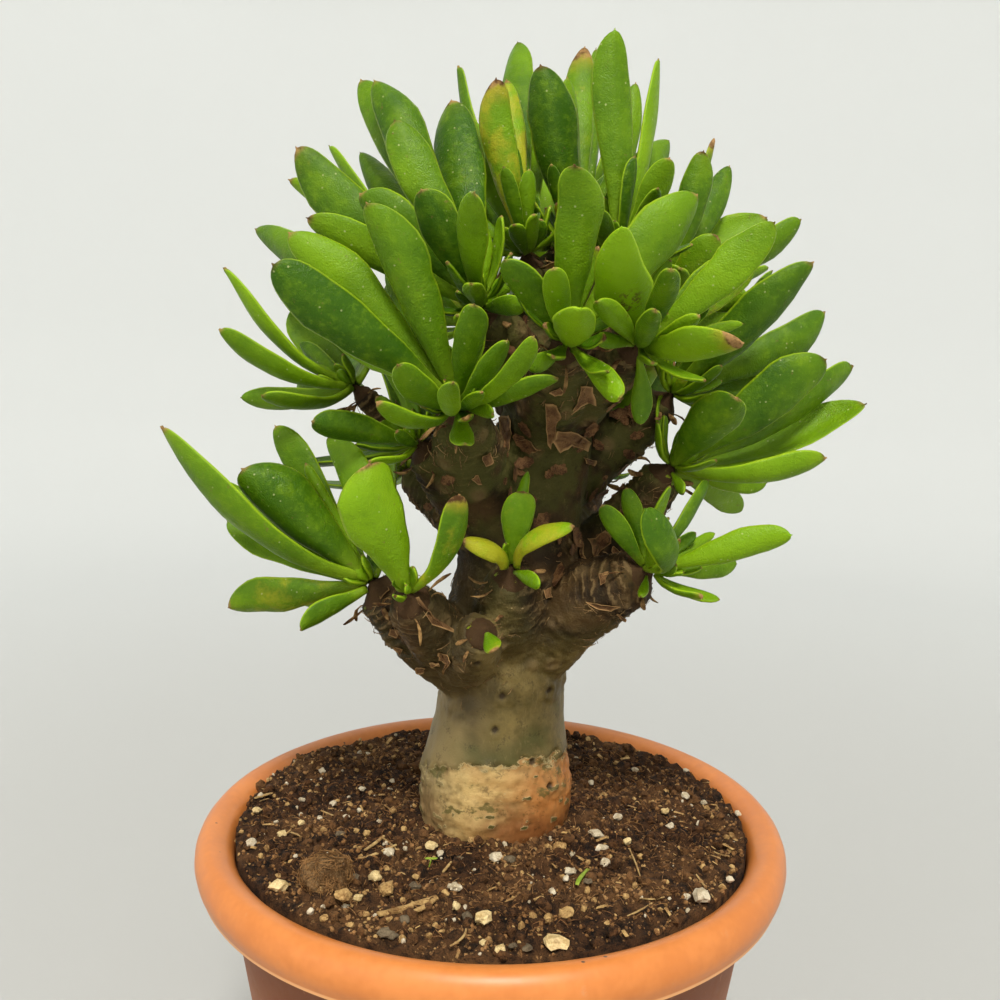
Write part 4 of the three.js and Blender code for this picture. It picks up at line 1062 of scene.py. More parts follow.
def withered_leaves(shoot, rng):
    first, second = square_to(shoot["axis"])
    dry = []
    for i in range(WITHERED_LEAVES.get(shoot["name"], WITHERED_USUAL)):
        turn = rng.uniform(0, 2 * math.pi)
        out = first * math.cos(turn) + second * math.sin(turn)
        root = shoot["end"] + out * shoot["radius"] * 0.75
        tip = root + unit(out + shoot["axis"] * rng.uniform(-0.6, 0.5)) * rng.uniform(5, 12)
        dry.append({"root": root, "tip": tip, "width": rng.uniform(1.4, 3.2),
                    "bow": rng.uniform(-0.3, 0.4),
                    "upper": unit(np.cross(tip - root, rng.uniform(-1, 1, 3))),
                    "length": np.linalg.norm(tip - root), "thin": WITHERED_THIN})
    return dry


def dress_shoot(shoot, rng):
    points, faces, wheres, moods = [], [], [], []
    sides = len(SECTION)

    def keep(ring_points, where, mood):
        faces.extend(grid_faces(len(ring_points) // sides, sides, sum(map(len, points))))
        points.append(ring_points)
        wheres.append(where)
        moods.append(np.tile(mood, (len(ring_points), 1)))

    for leaf in shoot["leaves"] + young_leaves(shoot, rng):
        shown = "mark" in leaf
        yellow = rng.uniform(*((0, 0.12) if rng.random() < 0.88 or shown else (0.2, 0.45)))
        dead = rng.uniform(*((0.003, 0.010) if rng.random() < 0.75 or shown else (0.015, 0.05)))
        yellow, dead, tint = MOODS.get(leaf.get("mark"), (yellow, dead, rng.uniform(0.15, 0.75)))
        stations = STATIONS if leaf["width"] > NARROW_LEAF else STATIONS[::2]
        keep(*fine_leaf(leaf, rng, stations), (tint, yellow, dead))
    for leaf in withered_leaves(shoot, rng):
        keep(*fine_leaf(leaf, rng, STATIONS[::4]), (rng.random(), 0.0, WITHERED_DEAD))
    radius, end, axis = shoot["radius"], shoot["end"], shoot["axis"]
    core = [(end + axis * rise, axis, radius * share) for rise, share in CORE_RINGS]
    keep(tube(core, sides), np.zeros((len(core) * sides, 3)), (0.3, 0.0, WITHERED_DEAD))
    return make_object(f"shoot_{shoot['name']}", np.concatenate(points), faces,
                       {"leaf_place": np.concatenate(wheres), "leaf_mood": np.concatenate(moods)})


# %% [markdown]
# The leaf's skin is a satin green. Its rounded edges carry painted light, as if light shone through
# them; its stalk is lighter, and it has small pale specks and brown scratches. Its tip dries to tan,
# then brown. Light soaks in a little, so it has some subsurface scattering.

# %% Leaf masks
leaf_skin, shader = new_material("leaf_skin", Specular_IOR_Level=0.15, Subsurface_Weight=0.05,
                                 Subsurface_Scale=0.002, Subsurface_Radius=(0.5, 1.0, 0.1))
across_leaf, along_leaf, _ = xyz(from_mesh("leaf_place", "Vector"))
tint_mood, yellow_mood, dead_mood = xyz(from_mesh("leaf_mood", "Vector"))
mask, normal = use_grain(230, 0.75)
tint = plus(tint_mood, times(minus(noise_of(30, 2), 0.5), 0.9))
cloud = noise_of(70, 5, 0.7)
off_midrib = maths("ABSOLUTE", across_leaf)
# painted light: the rounded rims are lighter, as if light shone through them
edge = times(ramp(off_midrib, 0.925, 0.985), ramp(along_leaf, 0.15, 0.45, 0.2, 0.7))
yellowed = plus(times(yellow_mood, 0.62), noise_of(85, 5, 0.65))
worn = times(minus(noise_of(150, 5, 0.7), 0.5), times(dead_mood, 2.2))
front = plus(plus(along_leaf, worn), dead_mood)
dead = times(ramp(front, 0.985, 1.02), ramp(dead_mood, 0.0, 0.004))
GNAWED_MARK, GNAWED_SHARE = (610, 234), 0.48
gnawed_leaf = next(leaf for shoot in shoots for leaf in shoot["leaves"]
                   if leaf.get("mark") == GNAWED_MARK)
gnawed_at = tuple(midrib(gnawed_leaf, GNAWED_SHARE)[0] * MM)
gnawed = times(ramp(vector_maths("DISTANCE", where, gnawed_at, "Value"), 0.0075, 0.003, 0.0, 0.85),
               patches(520, 4, 0.50, 0.56, rough=0.7))

# %% [markdown]
# The living skin is laid first, coat by coat, and the dead tip goes over it. One large leaf has
# been gnawed.

# %% Leaf material
living = coats(
    mix(ramp(tint, 0.0, 1.0), (0.030, 0.088, 0.0012), (0.172, 0.318, 0.0032)),
    (ramp(cloud, 0.46, 0.72, 0.0, 0.3), (0.230, 0.370, 0.0060)),
    (ramp(cloud, 0.46, 0.30, 0.0, 0.25), (0.024, 0.075, 0.0014)),
    (ramp(off_midrib, 0.0, 0.30, 0.05, 0.0), (0.190, 0.320, 0.0080)),
    (patches(420, 3, 0.50, 0.72, most=0.2, rough=0.6), (0.200, 0.340, 0.0120)),
    (times(ramp(along_leaf, 0.36, 0.02), 0.7), (0.210, 0.320, 0.014)),
    # painted light along the rims
    (edge, (0.330, 0.480, 0.014)),
    (ramp(yellowed, 0.74, 1.0, 0.0, 0.85), (0.335, 0.312, 0.015)),
    (times(ramp(front, 0.90, 1.02, 0.0, 0.7), ramp(dead_mood, 0.012, 0.05)), (0.312, 0.257, 0.021)),
    (times(specks(420, 0.10, 0.2, 0.82, 0.85), 0.6), (0.400, 0.430, 0.190)),
    (times(patches(300, 4, 0.645, 0.69, rough=0.8), 0.55), (0.148, 0.094, 0.032)),
    (gnawed, (0.085, 0.060, 0.014)))
husk = mix(patches(210, 4, 0.38, 0.62, rough=0.7), (0.070, 0.030, 0.010), (0.310, 0.180, 0.066))
husk = mix(ramp(along_leaf, 0.0, 0.02), (0.050, 0.026, 0.010), husk)
colour = mix(minus(1.0, dead), husk, living)
gloss = plus(ramp(mask, 0.3, 0.7, 0.34, 0.50), times(dead, 0.4))
fill(shader, {"Base Color": colour, "Roughness": gloss, "Normal": normal})

rng = np.random.default_rng(7)
for shoot in shoots:
    finish_piece(dress_shoot(shoot, rng), "leaf", leaf_skin, f"leaves_{shoot['name']}")

# %% [markdown]
# ## The soil
# The surface is a disc of fine rings, raised by the same waves as the CAD soil and by noise for its
# crumb. It goes down the pot's wall and closes at the base.

# %% Soil surface
LUMP_AT, LUMP_RADIUS, LUMP_HIGH = seen(325, 878, 70), 11, 6
HEAP_AT, HEAP_RADIUS, HEAP_HIGH = (-88, 46), 24, 4.5
RINGS, SIDES = 76, 310


def soil_height(x, y):
    clods = (1.1 * np.sin(x * 0.19 + 1.3) * np.cos(y * 0.23) + 0.8 * np.sin(x * 0.47 - y * 0.39)
             + 0.6 * np.cos(x * 0.83 + y * 0.71 + 2))
    rise = 2.5 * np.exp(-((np.hypot(x, y) - 36) ** 2) / 300)
    lump = LUMP_HIGH * np.exp(-((np.hypot(x - LUMP_AT[0], y - LUMP_AT[1]) / LUMP_RADIUS) ** 4))
    heap = HEAP_HIGH * np.exp(-((np.hypot(x - HEAP_AT[0], y - HEAP_AT[1]) / HEAP_RADIUS) ** 2))
    return SOIL_TOP + clods + rise + lump + heap


radii = np.linspace(0.4, 108.7, RINGS)
angles = 2 * math.pi * np.arange(SIDES) / SIDES
x, y = radii[:, None] * np.cos(angles), radii[:, None] * np.sin(angles)
z = soil_height(x, y)
for i in range(RINGS):
    for j in range(SIDES):
        v = Vector((x[i, j], y[i, j], 0))
        crumb = noise.fractal(v * 0.22, 0.65, 2.1, 5) * 1.7 + max(noise.noise(v * 0.55), 0) * 1.2
        z[i, j] += crumb * (1 if i < RINGS - 3 else 0.4)
top = np.stack([x, y, z], -1).reshape(-1, 3)
below = [(r - 0.5, h) for r, h in POT_INSIDE[5:-1]] + [(0.4, BASE_THICK + 0.4)]
under = np.concatenate([
    np.stack([r * np.cos(angles), r * np.sin(angles), np.full(SIDES, max(h, BASE_THICK + 0.4))], -1)
    for r, h in below])
soil_faces = [face[::-1] for face in grid_faces(RINGS + len(below), SIDES)]
soil = make_object("soil_surface", np.concatenate([top, under]), soil_faces)
ground = make_object("ground", top, [f[::-1] for f in grid_faces(RINGS, SIDES, caps=False)],
                     {"inner": np.clip((102 - np.hypot(top[:, 0], top[:, 1])) / 6, 0, 1)})

# %% [markdown]
# Soil is nearly black-brown where it is damp and lighter where it has dried, with fine fibres of
# peat. All the earthy finishes follow one recipe, from a dark colour, a light one and, for some,
# the colour that they dry to.

# %% Soil materials
EARTHS = {
    "humus": ((0.0035, 0.0018, 0.0009), (0.050, 0.021, 0.0075), 260, 0.92, 1.0, (0.120, 0.056, 0.020)),
    "clods": ((0.006, 0.0029, 0.0013), (0.085, 0.036, 0.0125), 330, 0.92, 1.0, (0.185, 0.088, 0.031)),
    "crumbs": ((0.009, 0.0042, 0.0017), (0.270, 0.130, 0.0450), 420, 0.92, 0.6, (0.400, 0.220, 0.088)),
    "perlite": ((0.36, 0.285, 0.18), (0.62, 0.535, 0.39), 300, 0.8, 0.4),
    "grit": ((0.20, 0.105, 0.034), (0.50, 0.32, 0.125), 200, 0.7, 0.4),
    "fibres": ((0.070, 0.026, 0.009), (0.300, 0.140, 0.048), 200, 0.85, 0.2, (0.38, 0.21, 0.08)),
    "root_fibres": ((0.085, 0.040, 0.013), (0.330, 0.170, 0.060), 200, 0.85, 0.2),
    "root_clod": ((0.060, 0.032, 0.013), (0.230, 0.135, 0.058), 300, 0.9, 0.9),
    "flakes": ((0.045, 0.018, 0.006), (0.205, 0.100, 0.038), 240, 0.75, 0.3),
    "bark_fibres": ((0.080, 0.040, 0.014), (0.330, 0.205, 0.085), 150, 0.85, 0.2),
    "cream_stone": ((0.42, 0.29, 0.12), (0.72, 0.56, 0.29), 260, 0.75, 0.4),
    "grey_stone": ((0.080, 0.058, 0.034), (0.170, 0.128, 0.078), 260, 0.8, 0.3),
    "straw": ((0.26, 0.15, 0.055), (0.50, 0.34, 0.14), 260, 0.7, 0.2),
    "young_green": ((0.16, 0.24, 0.02), (0.30, 0.38, 0.04), 260, 0.6, 0.1),
}


def earth(name, dark, light, scale, roughness, bump, dry=None):
    material, shader = new_material(name, Roughness=roughness, Specular_IOR_Level=0.2)
    mask, normal = use_grain(scale, bump)
    colour = mix(ramp(mask, 0.36, 0.64), dark, light)
    if dry:
        drier_in_front = ramp(xyz(where)[1], -0.02, -0.085, 0.0, 0.05)
        parched = ramp(plus(noise_of(26, 4, 0.6), drier_in_front), 0.42, 0.66, 0.0, 0.8)
        colour = mix(times(parched, ramp(mask, 0.36, 0.60, 0.2, 1.0)), colour, dry)
    fill(shader, {"Base Color": colour, "Normal": normal})
    return material


earths = {name: earth(name, *recipe) for name, recipe in EARTHS.items()}
finish_piece(soil, "soil", earths["humus"], "soil")

# %% [markdown]
# ## Scattering
# One node tree scatters copies of a small shape over a surface: seeded points, a random turn and
# size for each, then a noisy push that makes every copy different. The result is kept as plain
# mesh.

# %% The scatter tree
scatter = tree = bpy.data.node_groups.new("scatter", "GeometryNodeTree")
INPUTS = {"Geometry": "Geometry", "Shape": "Object", "Density": "Float", "Seed": "Int",
          "Smallest": "Float", "Largest": "Float", "Tilt": "Float", "Sink": "Float",
          "Lumps": "Float", "Lump Scale": "Float", "Mask": "Float", "Material": "Material"}
keys = {}
for name, kind in INPUTS.items():
    socket = scatter.interface.new_socket(name, in_out="INPUT", socket_type=f"NodeSocket{kind}")
    keys[name] = socket.identifier
scatter.interface.new_socket("Geometry", in_out="OUTPUT", socket_type="NodeSocketGeometry")
given = add("NodeGroupInput").outputs
density = times(given["Density"], given["Mask"])
spread = add("GeometryNodeDistributePointsOnFaces",
             {"Mesh": given["Geometry"], "Density": density, "Seed": given["Seed"]})
back = times(given["Tilt"], -1.0)
low = add("ShaderNodeCombineXYZ", {0: back, 1: back, 2: 0.0})
high = add("ShaderNodeCombineXYZ", {0: given["Tilt"], 1: given["Tilt"], 2: 2 * math.pi})
turn = add("FunctionNodeRandomValue", {0: low.outputs[0], 1: high.outputs[0], "Seed": given["Seed"]},
           data_type="FLOAT_VECTOR")
facing = add("FunctionNodeRotateRotation", {0: spread.outputs["Rotation"], 1: turn.outputs[0]},
             rotation_space="LOCAL")
size = add("FunctionNodeRandomValue", {2: 0.0, 3: 1.0, "Seed": given["Seed"]}, data_type="FLOAT")
MOSTLY_SMALL = 2.2
skew = maths("POWER", size.outputs[1], MOSTLY_SMALL)
size = add("ShaderNodeMapRange", {0: skew, 3: given["Smallest"], 4: given["Largest"]})
shape = add("GeometryNodeObjectInfo", {"Object": given["Shape"]})
copies = add("GeometryNodeInstanceOnPoints",
             {"Points": spread.outputs["Points"], "Instance": shape.outputs["Geometry"],
              "Rotation": facing.outputs[0], "Scale": size.outputs[0]})
sunk = add("ShaderNodeCombineXYZ", {2: times(given["Sink"], -1.0)})
lowered = add("GeometryNodeTranslateInstances",
              {"Instances": copies.outputs[0], "Translation": sunk.outputs[0]})
real = add("GeometryNodeRealizeInstances", {0: lowered.outputs[0]})
rough = add("ShaderNodeTexNoise", {"Scale": given["Lump Scale"], "Detail": 2.0})
away = vector_maths("SUBTRACT", rough.outputs["Color"], (0.5, 0.5, 0.5))
push = add("ShaderNodeVectorMath", {0: away, "Scale": given["Lumps"]}, operation="SCALE")
moved = add("GeometryNodeSetPosition", {"Geometry": real.outputs[0], "Offset": push.outputs[0]})
coloured = add("GeometryNodeSetMaterial", {0: moved.outputs[0], "Material": given["Material"]})
add("NodeGroupOutput", {0: coloured.outputs[0]})


def scattered(name, surface, shape, slot, material, density, seed, sizes, sink=0.0, tilt=math.pi,
              lumps=0.0, lump_scale=300.0, mask=None):
    obj = link_mesh(name, surface.data.copy())
    modifier = obj.modifiers.new("scatter", "NODES")
    modifier.node_group = scatter
    values = {"Shape": shape, "Density": density, "Seed": seed, "Smallest": sizes[0],
              "Largest": sizes[1], "Tilt": tilt, "Sink": sink * MM, "Lumps": lumps * MM,
              "Lump Scale": lump_scale, "Mask": 1.0, "Material": material}
    for key, value in values.items():
        modifier[keys[key]] = value
    if mask:
        modifier[keys["Mask"] + "_use_attribute"] = True
        modifier[keys["Mask"] + "_attribute_name"] = mask
    apply_modifiers(obj)
    finish_piece(obj, slot, material)


# %% [markdown]
# The shapes to copy are a lump, a chip, a fibre and a curled flake of bark, each about 1 mm at
# scale 1.

# %% Small shapes
def lump_shape(name, squash, divisions):
    def lumpy(co):
        co = co * (1 + 0.45 * noise.noise(co / MM * 2.3 + Vector((len(name), 0, 0))))
        return Vector((co.x * squash[0], co.y, co.z * squash[1]))

    return link_ball(name, divisions, 0.5 * MM, lumpy)


def strip_shape(name, length, width, curl, thick, steps, smooth=True):
    rings = []
    for t in np.linspace(-0.5, 0.5, steps):
        point = np.array([length * t, curl * math.sin(3.1 * t), curl * 0.8 * math.cos(2.6 * t)])
        slope = [length, curl * 3.1 * math.cos(3.1 * t), -curl * 2.1 * math.sin(2.6 * t)]
        along = unit(np.array(slope))
        side = unit(np.cross([0, 0, 1], along)) * width / 2
        up = np.cross(along, unit(side)) * thick / 2
        rings.append([point + side, point + up, point - side, point - up])
    return make_object(name, np.array(rings).reshape(-1, 3), grid_faces(steps, 4), smooth=smooth)


def flake_shape(name, length, width, curl, thick):
    steps = np.linspace(-0.5, 0.5, 7)
    rings = []
    for i, t in enumerate(steps):
        ragged = (1.0, 0.8, 1.15, 0.9, 1.2, 0.85, 1.0)[i]
        half = width / 2 * (1 - 0.55 * abs(t * 2) ** 3) * ragged
        lift = curl * (t + 0.5) ** 2
        rings.append([[length * t, -half, lift + 0.1 * width], [length * t, 0, lift - thick / 2],
                      [length * t, half * 0.8, lift + 0.03 * width], [length * t, 0, lift + thick / 2]])
    return make_object(name, np.array(rings).reshape(-1, 3), grid_faces(7, 4), smooth=False)


round_lump = lump_shape("lump", (1.15, 0.8), 2)
crumb_lump = lump_shape("crumb", (1.2, 0.8), 1)
stone_lump = lump_shape("stone", (1.0, 0.75), 2)
chip = strip_shape("chip", 1, 0.35, 0.04, 0.10, 4, smooth=False)
fibre = strip_shape("fibre", 1, 0.06, 0.16, 0.06, 4)
flake = flake_shape("flake", 1, 0.65, 0.16, 0.05)

for name, shape, finish, density, seed, sizes, sink, more in (
        ("clods", round_lump, "clods", 30000, 3, (1.2, 5.0), 0.2, {"lumps": 2.0, "lump_scale": 420}),
        ("crumbs", crumb_lump, "crumbs", 120000, 4, (0.6, 2.4), -0.1, {"lumps": 0.7, "lump_scale": 700}),
        ("perlite", stone_lump, "perlite", 4200, 5, (0.7, 3.0), -0.3, {"lumps": 1.0}),
        ("grit", stone_lump, "grit", 15000, 8, (0.6, 3.2), -0.2, {"lumps": 1.0}),
        ("chips", chip, "grit", 4200, 11, (1.5, 5), -0.4, {"tilt": 0.35, "lumps": 0.3}),
        ("fibres", fibre, "fibres", 90000, 13, (1.2, 4.5), -0.4,
         {"tilt": 0.5, "lumps": 0.7, "lump_scale": 110, "mask": "inner"})):
    scattered(name, ground, shape, "soil", earths[finish], density, seed, sizes, sink, **more)

# %% [markdown]
# Some grains and sticks stand out in the photograph. Each is placed where its line of sight
# meets the soil: `[across, down, width in mm]`, sorted by what it is made of.

# %% Grains and sticks that stand out
GRAINS = {
    "perlite": [
        [496, 860, 6.5], [595, 837, 6.2], [602, 851, 5], [605, 865, 4.6], [571, 856, 3.4],
        [571, 873, 4.6], [566, 880, 3.2], [618, 819, 5], [685, 798, 4.6], [704, 804, 3.6],
        [700, 826, 3.8], [670, 828, 3.4], [738, 815, 3.4], [702, 900, 8.5], [686, 899, 4],
        [730, 881, 3.4], [251, 845, 5], [333, 805, 4], [389, 855, 5.6], [440, 855, 4],
        [456, 889, 4.4], [635, 771, 3.4], [591, 784, 3.6], [553, 893, 3.6], [405, 850, 2.6],
        [362, 790, 3.4], [392, 782, 3], [346, 818, 3.2], [320, 819, 2.8], [302, 801, 3],
    ],
    "cream": [
        [556, 947, 8], [431, 848, 5], [375, 879, 5.8], [456, 908, 4], [500, 952, 5],
        [483, 945, 3.2], [627, 843, 4.2], [665, 813, 4.6], [358, 900, 4.4], [279, 889, 6],
        [282, 836, 4.6], [257, 812, 4.6], [301, 824, 3.4], [483, 921, 6.4],
    ],
    "tan": [
        [386, 893, 7.5], [343, 898, 6.5], [566, 916, 6], [541, 903, 4.4], [560, 849, 5.5],
        [324, 920, 3.4], [570, 841, 3.4], [416, 878, 3.2], [548, 921, 4.4], [398, 853, 3],
        [640, 858, 3], [366, 916, 3.2],
    ],
    "grey": [
        [385, 936, 5], [355, 881, 5], [415, 888, 4.2], [467, 919, 5.4], [405, 922, 4.6],
        [510, 861, 4.4], [340, 836, 3.8], [393, 938, 3.6], [588, 883, 3.6], [460, 860, 3],
        [527, 950, 4], [513, 948, 3.4],
    ],
}
STICKS = [
    ([(378, 917), (408, 910), (437, 900)], 3.4, 1.2, "tan"),
    ([(413, 914), (425, 909), (434, 902)], 2.2, 1.0, "tan"),
    ([(359, 861), (378, 855), (396, 847)], 1.2, 0.8, "straw"),
    ([(365, 852), (374, 846), (384, 838)], 1.4, 0.8, "straw"),
    ([(383, 840), (390, 845), (396, 851)], 0.9, 0.6, "straw"),
    ([(577, 887), (580, 880), (588, 871)], 1.6, 0.6, "green"),
    ([(696, 876), (704, 887), (713, 899)], 0.7, 0.5, "straw"),
    ([(703, 843), (713, 853), (729, 858)], 0.6, 0.5, "straw"),
    ([(627, 918), (640, 912), (652, 905)], 0.7, 0.5, "straw"),
    ([(640, 900), (652, 901), (664, 899)], 0.8, 0.5, "straw"),
    ([(443, 874), (448, 868), (451, 864)], 1.2, 0.7, "straw"),
    ([(450, 948), (462, 940), (466, 931)], 0.8, 0.5, "straw"),
    ([(255, 800), (264, 797), (272, 795)], 1.6, 0.8, "straw"),
    ([(291, 834), (297, 836), (301, 839)], 0.8, 0.5, "straw"),
    ([(321, 812), (328, 815), (333, 817)], 0.8, 0.5, "straw"),
    ([(630, 852), (636, 866), (640, 878)], 0.6, 0.5, "straw"),
]
FINISHES = {"perlite": "perlite", "cream": "cream_stone", "tan": "grit", "grey": "grey_stone",
            "straw": "straw", "green": "young_green"}


def on_soil(across, down):
    ray = seen(across, down, 0) - EYE
    point = EYE + ray * (SOIL_TOP - EYE[2]) / ray[2]
    for _ in range(3):
        point = EYE + ray * (soil_height(point[0], point[1]) + 0.5 - EYE[2]) / ray[2]
    return point


def gather(name, parts, kind):
    points = np.concatenate([part for part, _ in parts])
    faces, first = [], 0
    for part, its_faces in parts:
        faces += [[first + k for k in face] for face in its_faces]
        first += len(part)
    finish_piece(make_object(name, points, faces, smooth=False), "soil", earths[FINISHES[kind]])


lump_mesh = round_lump.data
lump_points = np.array([v.co for v in lump_mesh.vertices]) / MM
lump_faces = [list(p.vertices) for p in lump_mesh.polygons]
rng = np.random.default_rng(21)
noise.seed_set(21)
for kind, grains in GRAINS.items():
    parts = []
    for across, down, size in grains:
        turned = lump_points @ np.array(Matrix.Rotation(rng.uniform(0, 6.28), 3, "Z"))
        turned *= rng.uniform(0.75, 1.15, 3) * size * np.array([0.9, 0.85, 0.8])
        seed = Vector((across, 0, 0))
        turned += np.array([noise.noise_vector(Vector(p) * 0.7 + seed) for p in turned]) * 0.15 * size
        parts.append((turned + on_soil(across, down) + [0, 0, size * 0.22], lump_faces))
    gather(f"grains_{kind}", parts, kind)


def splinter(places, width, thick):
    line = [on_soil(*place) + [0, 0, thick * 0.5 + 0.5] for place in places]
    steps = np.linspace(0, 1, 7)
    pull = 2 * line[1] - (line[0] + line[2]) / 2
    middle = [line[0] * (1 - t) ** 2 + pull * 2 * t * (1 - t) + line[2] * t**2 for t in steps]
    rings = []
    for i, point in enumerate(middle):
        along = unit(middle[min(i + 1, 6)] - middle[max(i - 1, 0)])
        side = unit(np.cross([0, 0, 1], along))
        up = np.cross(along, side)
        half = width / 2 * (0.75 + 0.25 * math.sin(math.pi * steps[i])) * rng.uniform(0.8, 1.15)
        rings.append([point + side * half * a + up * thick / 2 * b for a, b in
                      ((1, 0.5), (0.4, 1), (-0.4, 1), (-1, 0.5), (-1, -0.6), (1, -0.6))])
    return np.array(rings).reshape(-1, 3), grid_faces(7, 6)


for kind in ("tan", "straw", "green"):
    gather(f"sticks_{kind}", [splinter(*stick[:3]) for stick in STICKS if stick[3] == kind], kind)

# %% [markdown]
# A round clod of old roots lies at the front left, with fibres all over it, and a tiny seedling has
# come up beside it.

# %% Root clod and seedling
CLOD_RADIUS, CLOD_RAISED = 9.2, 2.5
clod_at = Vector(on_soil(327, 882))


def clod_point(co):
    rough = 1 + 0.2 * noise.noise(co * 1.6) + 0.10 * noise.fractal(co * 7, 0.7, 2.0, 3)
    ball = co * (CLOD_RADIUS * rough)
    return (Vector((ball.x, ball.y, ball.z * 0.8 + CLOD_RAISED)) + clod_at) * MM


root_clod = link_ball("root_clod", 5, 1, clod_point, smooth=True)
scattered("clod_fibres", root_clod, fibre, "soil", earths["root_fibres"], 900000, 31, (2, 6), -0.1,
          tilt=0.35, lumps=0.5, lump_scale=200)
finish_piece(root_clod, "soil", earths["root_clod"])

sprout = on_soil(429, 866)
SPROUT_RADIUS, SPROUT_LEAN = 0.28, np.array([0.2, 0, 1.0])
stem = [(sprout + [0.2 * i, 0, 0.8 * i - 0.5], SPROUT_LEAN, SPROUT_RADIUS) for i in range(5)]
parts = [(tube(stem, 6), grid_faces(5, 6))]
for side in (-1, 1):
    parts.append((lump_points * [2.4, 1.6, 0.7] + sprout + [0.8 + side * 1.1, 0, 3.2], lump_faces))
gather("seedling", parts, "green")

# %% [markdown]
# Papery flakes of old bark stand off the upper wood, where the photograph shows it peeling. A mask
# on the wood's points says where.

# %% Bark flakes
peeling = np.array([max(noise.noise(Vector(p) * 0.055) + 0.15, 0) * min(max((p[2] - 292) / 30, 0), 1)
                    for p in places])
peeling *= np.clip((from_tip - 6) / 8, 0, 1)
set_layer(trunk.data, "peeling", peeling)
scattered("bark_flakes", trunk, flake, "bark", earths["flakes"], 30000, 17, (3, 11), -0.05,
          tilt=0.14, lumps=0.7, lump_scale=110, mask="peeling")
shaggy = np.array([max(noise.noise(Vector(p) * 0.09 + Vector((5, 5, 5))) + 0.05, 0) for p in places])
shaggy *= np.clip((40 - from_tip) / 20, 0, 1) * np.clip((places[:, 2] - 235) / 20, 0, 1)
set_layer(trunk.data, "shaggy", shaggy)
scattered("bark_fibres", trunk, fibre, "bark", earths["bark_fibres"], 300000, 19, (1.5, 6), -0.1,
          tilt=0.5, lumps=0.6, lump_scale=150, mask="shaggy")
for helper in (round_lump, crumb_lump, stone_lump, chip, fibre, flake, ground):
    bpy.data.objects.remove(helper)

# %% [markdown]
# The largest papers stand out in the photograph. Each is an outline `[across, down]` whose lines of
# sight are followed to the bark. The sheet lies close to the bark in its middle and curls up at its
# ragged edge.

# %% Papers that stand out
PAPERS = [
    [(544, 402), (556, 403), (561, 415), (556, 422), (555, 434), (550, 448), (547, 441), (545, 422)],
    [(555, 429), (577, 431), (589, 440), (585, 448), (570, 444), (557, 449), (552, 440)],
    [(580, 385), (590, 385), (594, 404), (585, 401), (570, 414), (577, 398)],
    [(518, 440), (529, 438), (538, 449), (543, 450), (535, 452), (528, 443), (520, 443)],
    [(502, 417), (511, 415), (513, 434), (509, 457), (505, 455)],
    [(582, 457), (594, 461), (592, 466), (584, 463)],
    [(550, 391), (561, 385), (565, 391), (556, 395)],
    [(587, 539), (595, 540), (605, 531), (610, 536), (611, 544), (601, 552), (593, 561), (592, 550)],
    [(613, 544), (625, 556), (619, 558), (611, 550)],
    [(576, 540), (581, 545), (581, 558), (578, 558), (578, 548)],
    [(586, 601), (601, 604), (621, 606), (611, 610), (597, 608)],
    [(613, 613), (623, 618), (621, 622), (617, 617)],
    [(440, 652), (449, 654), (453, 662), (445, 674), (448, 663), (442, 659)],
    [(417, 665), (426, 666), (425, 671), (418, 670)],
    [(429, 661), (440, 660), (440, 664), (431, 665)],
    [(425, 600), (440, 601), (452, 588), (440, 582), (431, 590)],
    [(377, 588), (384, 583), (392, 591), (383, 601)],
    [(412, 597), (416, 596), (432, 618), (452, 628), (451, 632), (430, 624)],
    [(392, 628), (402, 630), (398, 637), (391, 634)], [(396, 646), (404, 648), (401, 655)],
    [(545, 590), (552, 588), (553, 597), (547, 599)],
    [(480, 456), (489, 452), (493, 462), (484, 466)], [(470, 478), (478, 474), (481, 484)],
    [(599, 575), (608, 573), (606, 584), (600, 586)],
]
wood = BVHTree.FromPolygons([v.co for v in trunk.data.vertices],
                            [list(p.vertices) for p in trunk.data.polygons])


def on_wood(across, down):
    way = unit(seen(across, down, 0) - EYE)
    place, facing, _, _ = wood.ray_cast(Vector(EYE * MM), Vector(way))
    return (np.array(place) / MM, np.array(facing)) if place else (None, None)


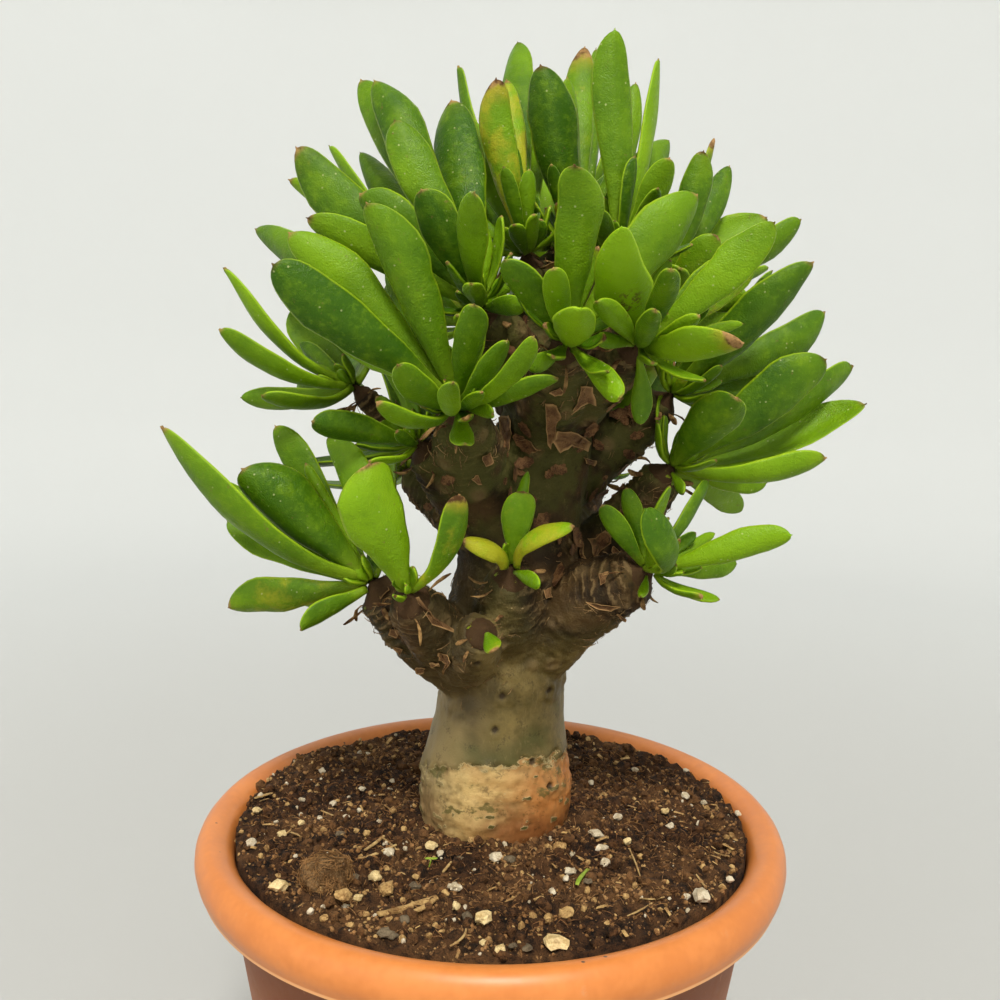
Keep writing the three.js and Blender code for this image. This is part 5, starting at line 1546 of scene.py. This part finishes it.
def paper(outline, rng):
    middle, facing = on_wood(*np.mean(outline, axis=0))
    edge = []
    for (x0, y0), (x1, y1) in zip(outline, outline[1:] + outline[:1]):
        for share in (0, 0.34, 0.67):
            spot = (x0 + (x1 - x0) * share + rng.uniform(-0.7, 0.7),
                    y0 + (y1 - y0) * share + rng.uniform(-0.7, 0.7))
            point, _ = on_wood(*spot)
            if point is None or abs((point - middle) @ facing) > 5:
                ray = seen(*spot, 0) - EYE
                point = EYE + ray * ((middle - EYE) @ facing) / (ray @ facing)
            edge.append(point)
    edge = np.array(edge)
    lifts = np.array([0.9 + 1.3 * max(noise.noise(Vector(p) * 0.25), -0.4) for p in edge])
    upper = [middle + facing * 0.7]
    for share, lift in ((0.5, 0.35), (0.85, 0.45), (1.0, 1.0)):
        upper.append(middle + (edge - middle) * share + facing * (0.55 + lifts * lift)[:, None])
    upper = np.vstack(upper)
    n = len(edge)
    sheet = [[0, 1 + j, 1 + (j + 1) % n] for j in range(n)]
    for r in (0, 1):
        inner, outer = 1 + r * n, 1 + (r + 1) * n
        sheet += [[inner + j, outer + j, outer + (j + 1) % n, inner + (j + 1) % n] for j in range(n)]
    under = [[k + len(upper) for k in reversed(face)] for face in sheet]
    first = 1 + 2 * n
    side = [[first + j, first + j + len(upper), first + (j + 1) % n + len(upper), first + (j + 1) % n]
            for j in range(n)]
    rim = np.concatenate([[0.0], np.full(n, 0.3), np.full(n, 0.75), np.full(n, 1.0)])
    turned = sheet + under + side
    if np.cross(edge[n // 3] - edge[0], edge[2 * n // 3] - edge[0]) @ facing < 0:
        turned = [face[::-1] for face in turned]
    return np.vstack([upper, upper - facing * 0.3]), turned, np.tile(rim, 2)


rng = np.random.default_rng(41)
points, faces, rims = [], [], []
for outline in PAPERS:
    if on_wood(*np.mean(outline, axis=0))[0] is not None:
        its_points, its_faces, its_rim = paper(outline, rng)
        first = sum(map(len, points))
        faces += [[first + k for k in face] for face in its_faces]
        points.append(its_points)
        rims.append(its_rim)
papers = make_object("papers", np.concatenate(points), faces, {"rim": np.concatenate(rims)},
                     smooth=False)
papery, shader = new_material("papery", Roughness=0.8, Specular_IOR_Level=0.2)
mask, normal = use_grain(260, 0.5)
colour = coats(mix(ramp(mask, 0.35, 0.65), (0.085, 0.040, 0.015), (0.200, 0.105, 0.042)),
               (ramp(from_mesh("rim"), 0.6, 1.0, 0.0, 0.8), (0.420, 0.250, 0.100)))
fill(shader, {"Base Color": colour, "Normal": normal})
finish_piece(papers, "bark", papery)

# %% [markdown]
# ## The studio
# The floor is a wide pale bowl, so that the part stands on plain ground and no horizon shows from
# any side. A large soft lamp stands high in front, as in the photograph, with two weak ones for the
# shaded sides.

# %% Floor, lamps and world
FLOOR_DROP = 0.6
FLOOR = [
    [1, 0], [1500, 0], [1750, 30], [1950, 120], [2080, 270], [2150, 500], [2180, 900], [2190, 2600],
]
floor = spin("floor", [[r, z - FLOOR_DROP] for r, z in FLOOR], 96)
floor.data.flip_normals()
floor_finish, shader = new_material("paper", Roughness=0.9, Specular_IOR_Level=0.1)
from_middle = vector_maths("LENGTH", where, output="Value")
# painted shade: the floor's grey darkens towards the middle, round the part
grey = mix(ramp(from_middle, 0.15, 1.9), (0.462, 0.462, 0.450), (0.705, 0.720, 0.718))
fill(shader, {"Base Color": grey})
floor.data.materials.append(floor_finish)

LAMPS_AIM = Vector((0, 0, 0.3))
LAMPS = {  # place in metres, size in metres, watts, colour
    "key": ((0.1, -1.6, 2.45), 0.6, 80, (1, 0.965, 0.90)),
    "fill": ((-1.5, -1.3, 0.9), 1.2, 5, (1, 0.98, 0.96)),
    "back": ((-0.3, 1.6, 1.9), 1.2, 4, (0.98, 0.98, 1)),
}
for name, (place, size, watts, colour) in LAMPS.items():
    lamp = bpy.data.lights.new(name, "AREA")
    lamp.size, lamp.energy, lamp.color = size, watts, colour
    lamp_object = bpy.data.objects.new(name, lamp)
    lamp_object.location = place
    lamp_object.rotation_euler = (LAMPS_AIM - Vector(place)).to_track_quat("-Z", "Y").to_euler()
    bpy.context.collection.objects.link(lamp_object)
WORLD_STRENGTH = 0.28
world = bpy.data.worlds.new("pale")
world.use_nodes = True
fill(world.node_tree.nodes["Background"].inputs, {0: (0.96, 0.96, 0.95, 1), 1: WORLD_STRENGTH})
bpy.context.scene.world = world
bpy.context.scene.view_settings.view_transform = "Standard"
print(len(LAMPS), "lamps, key at", LAMPS["key"][0])
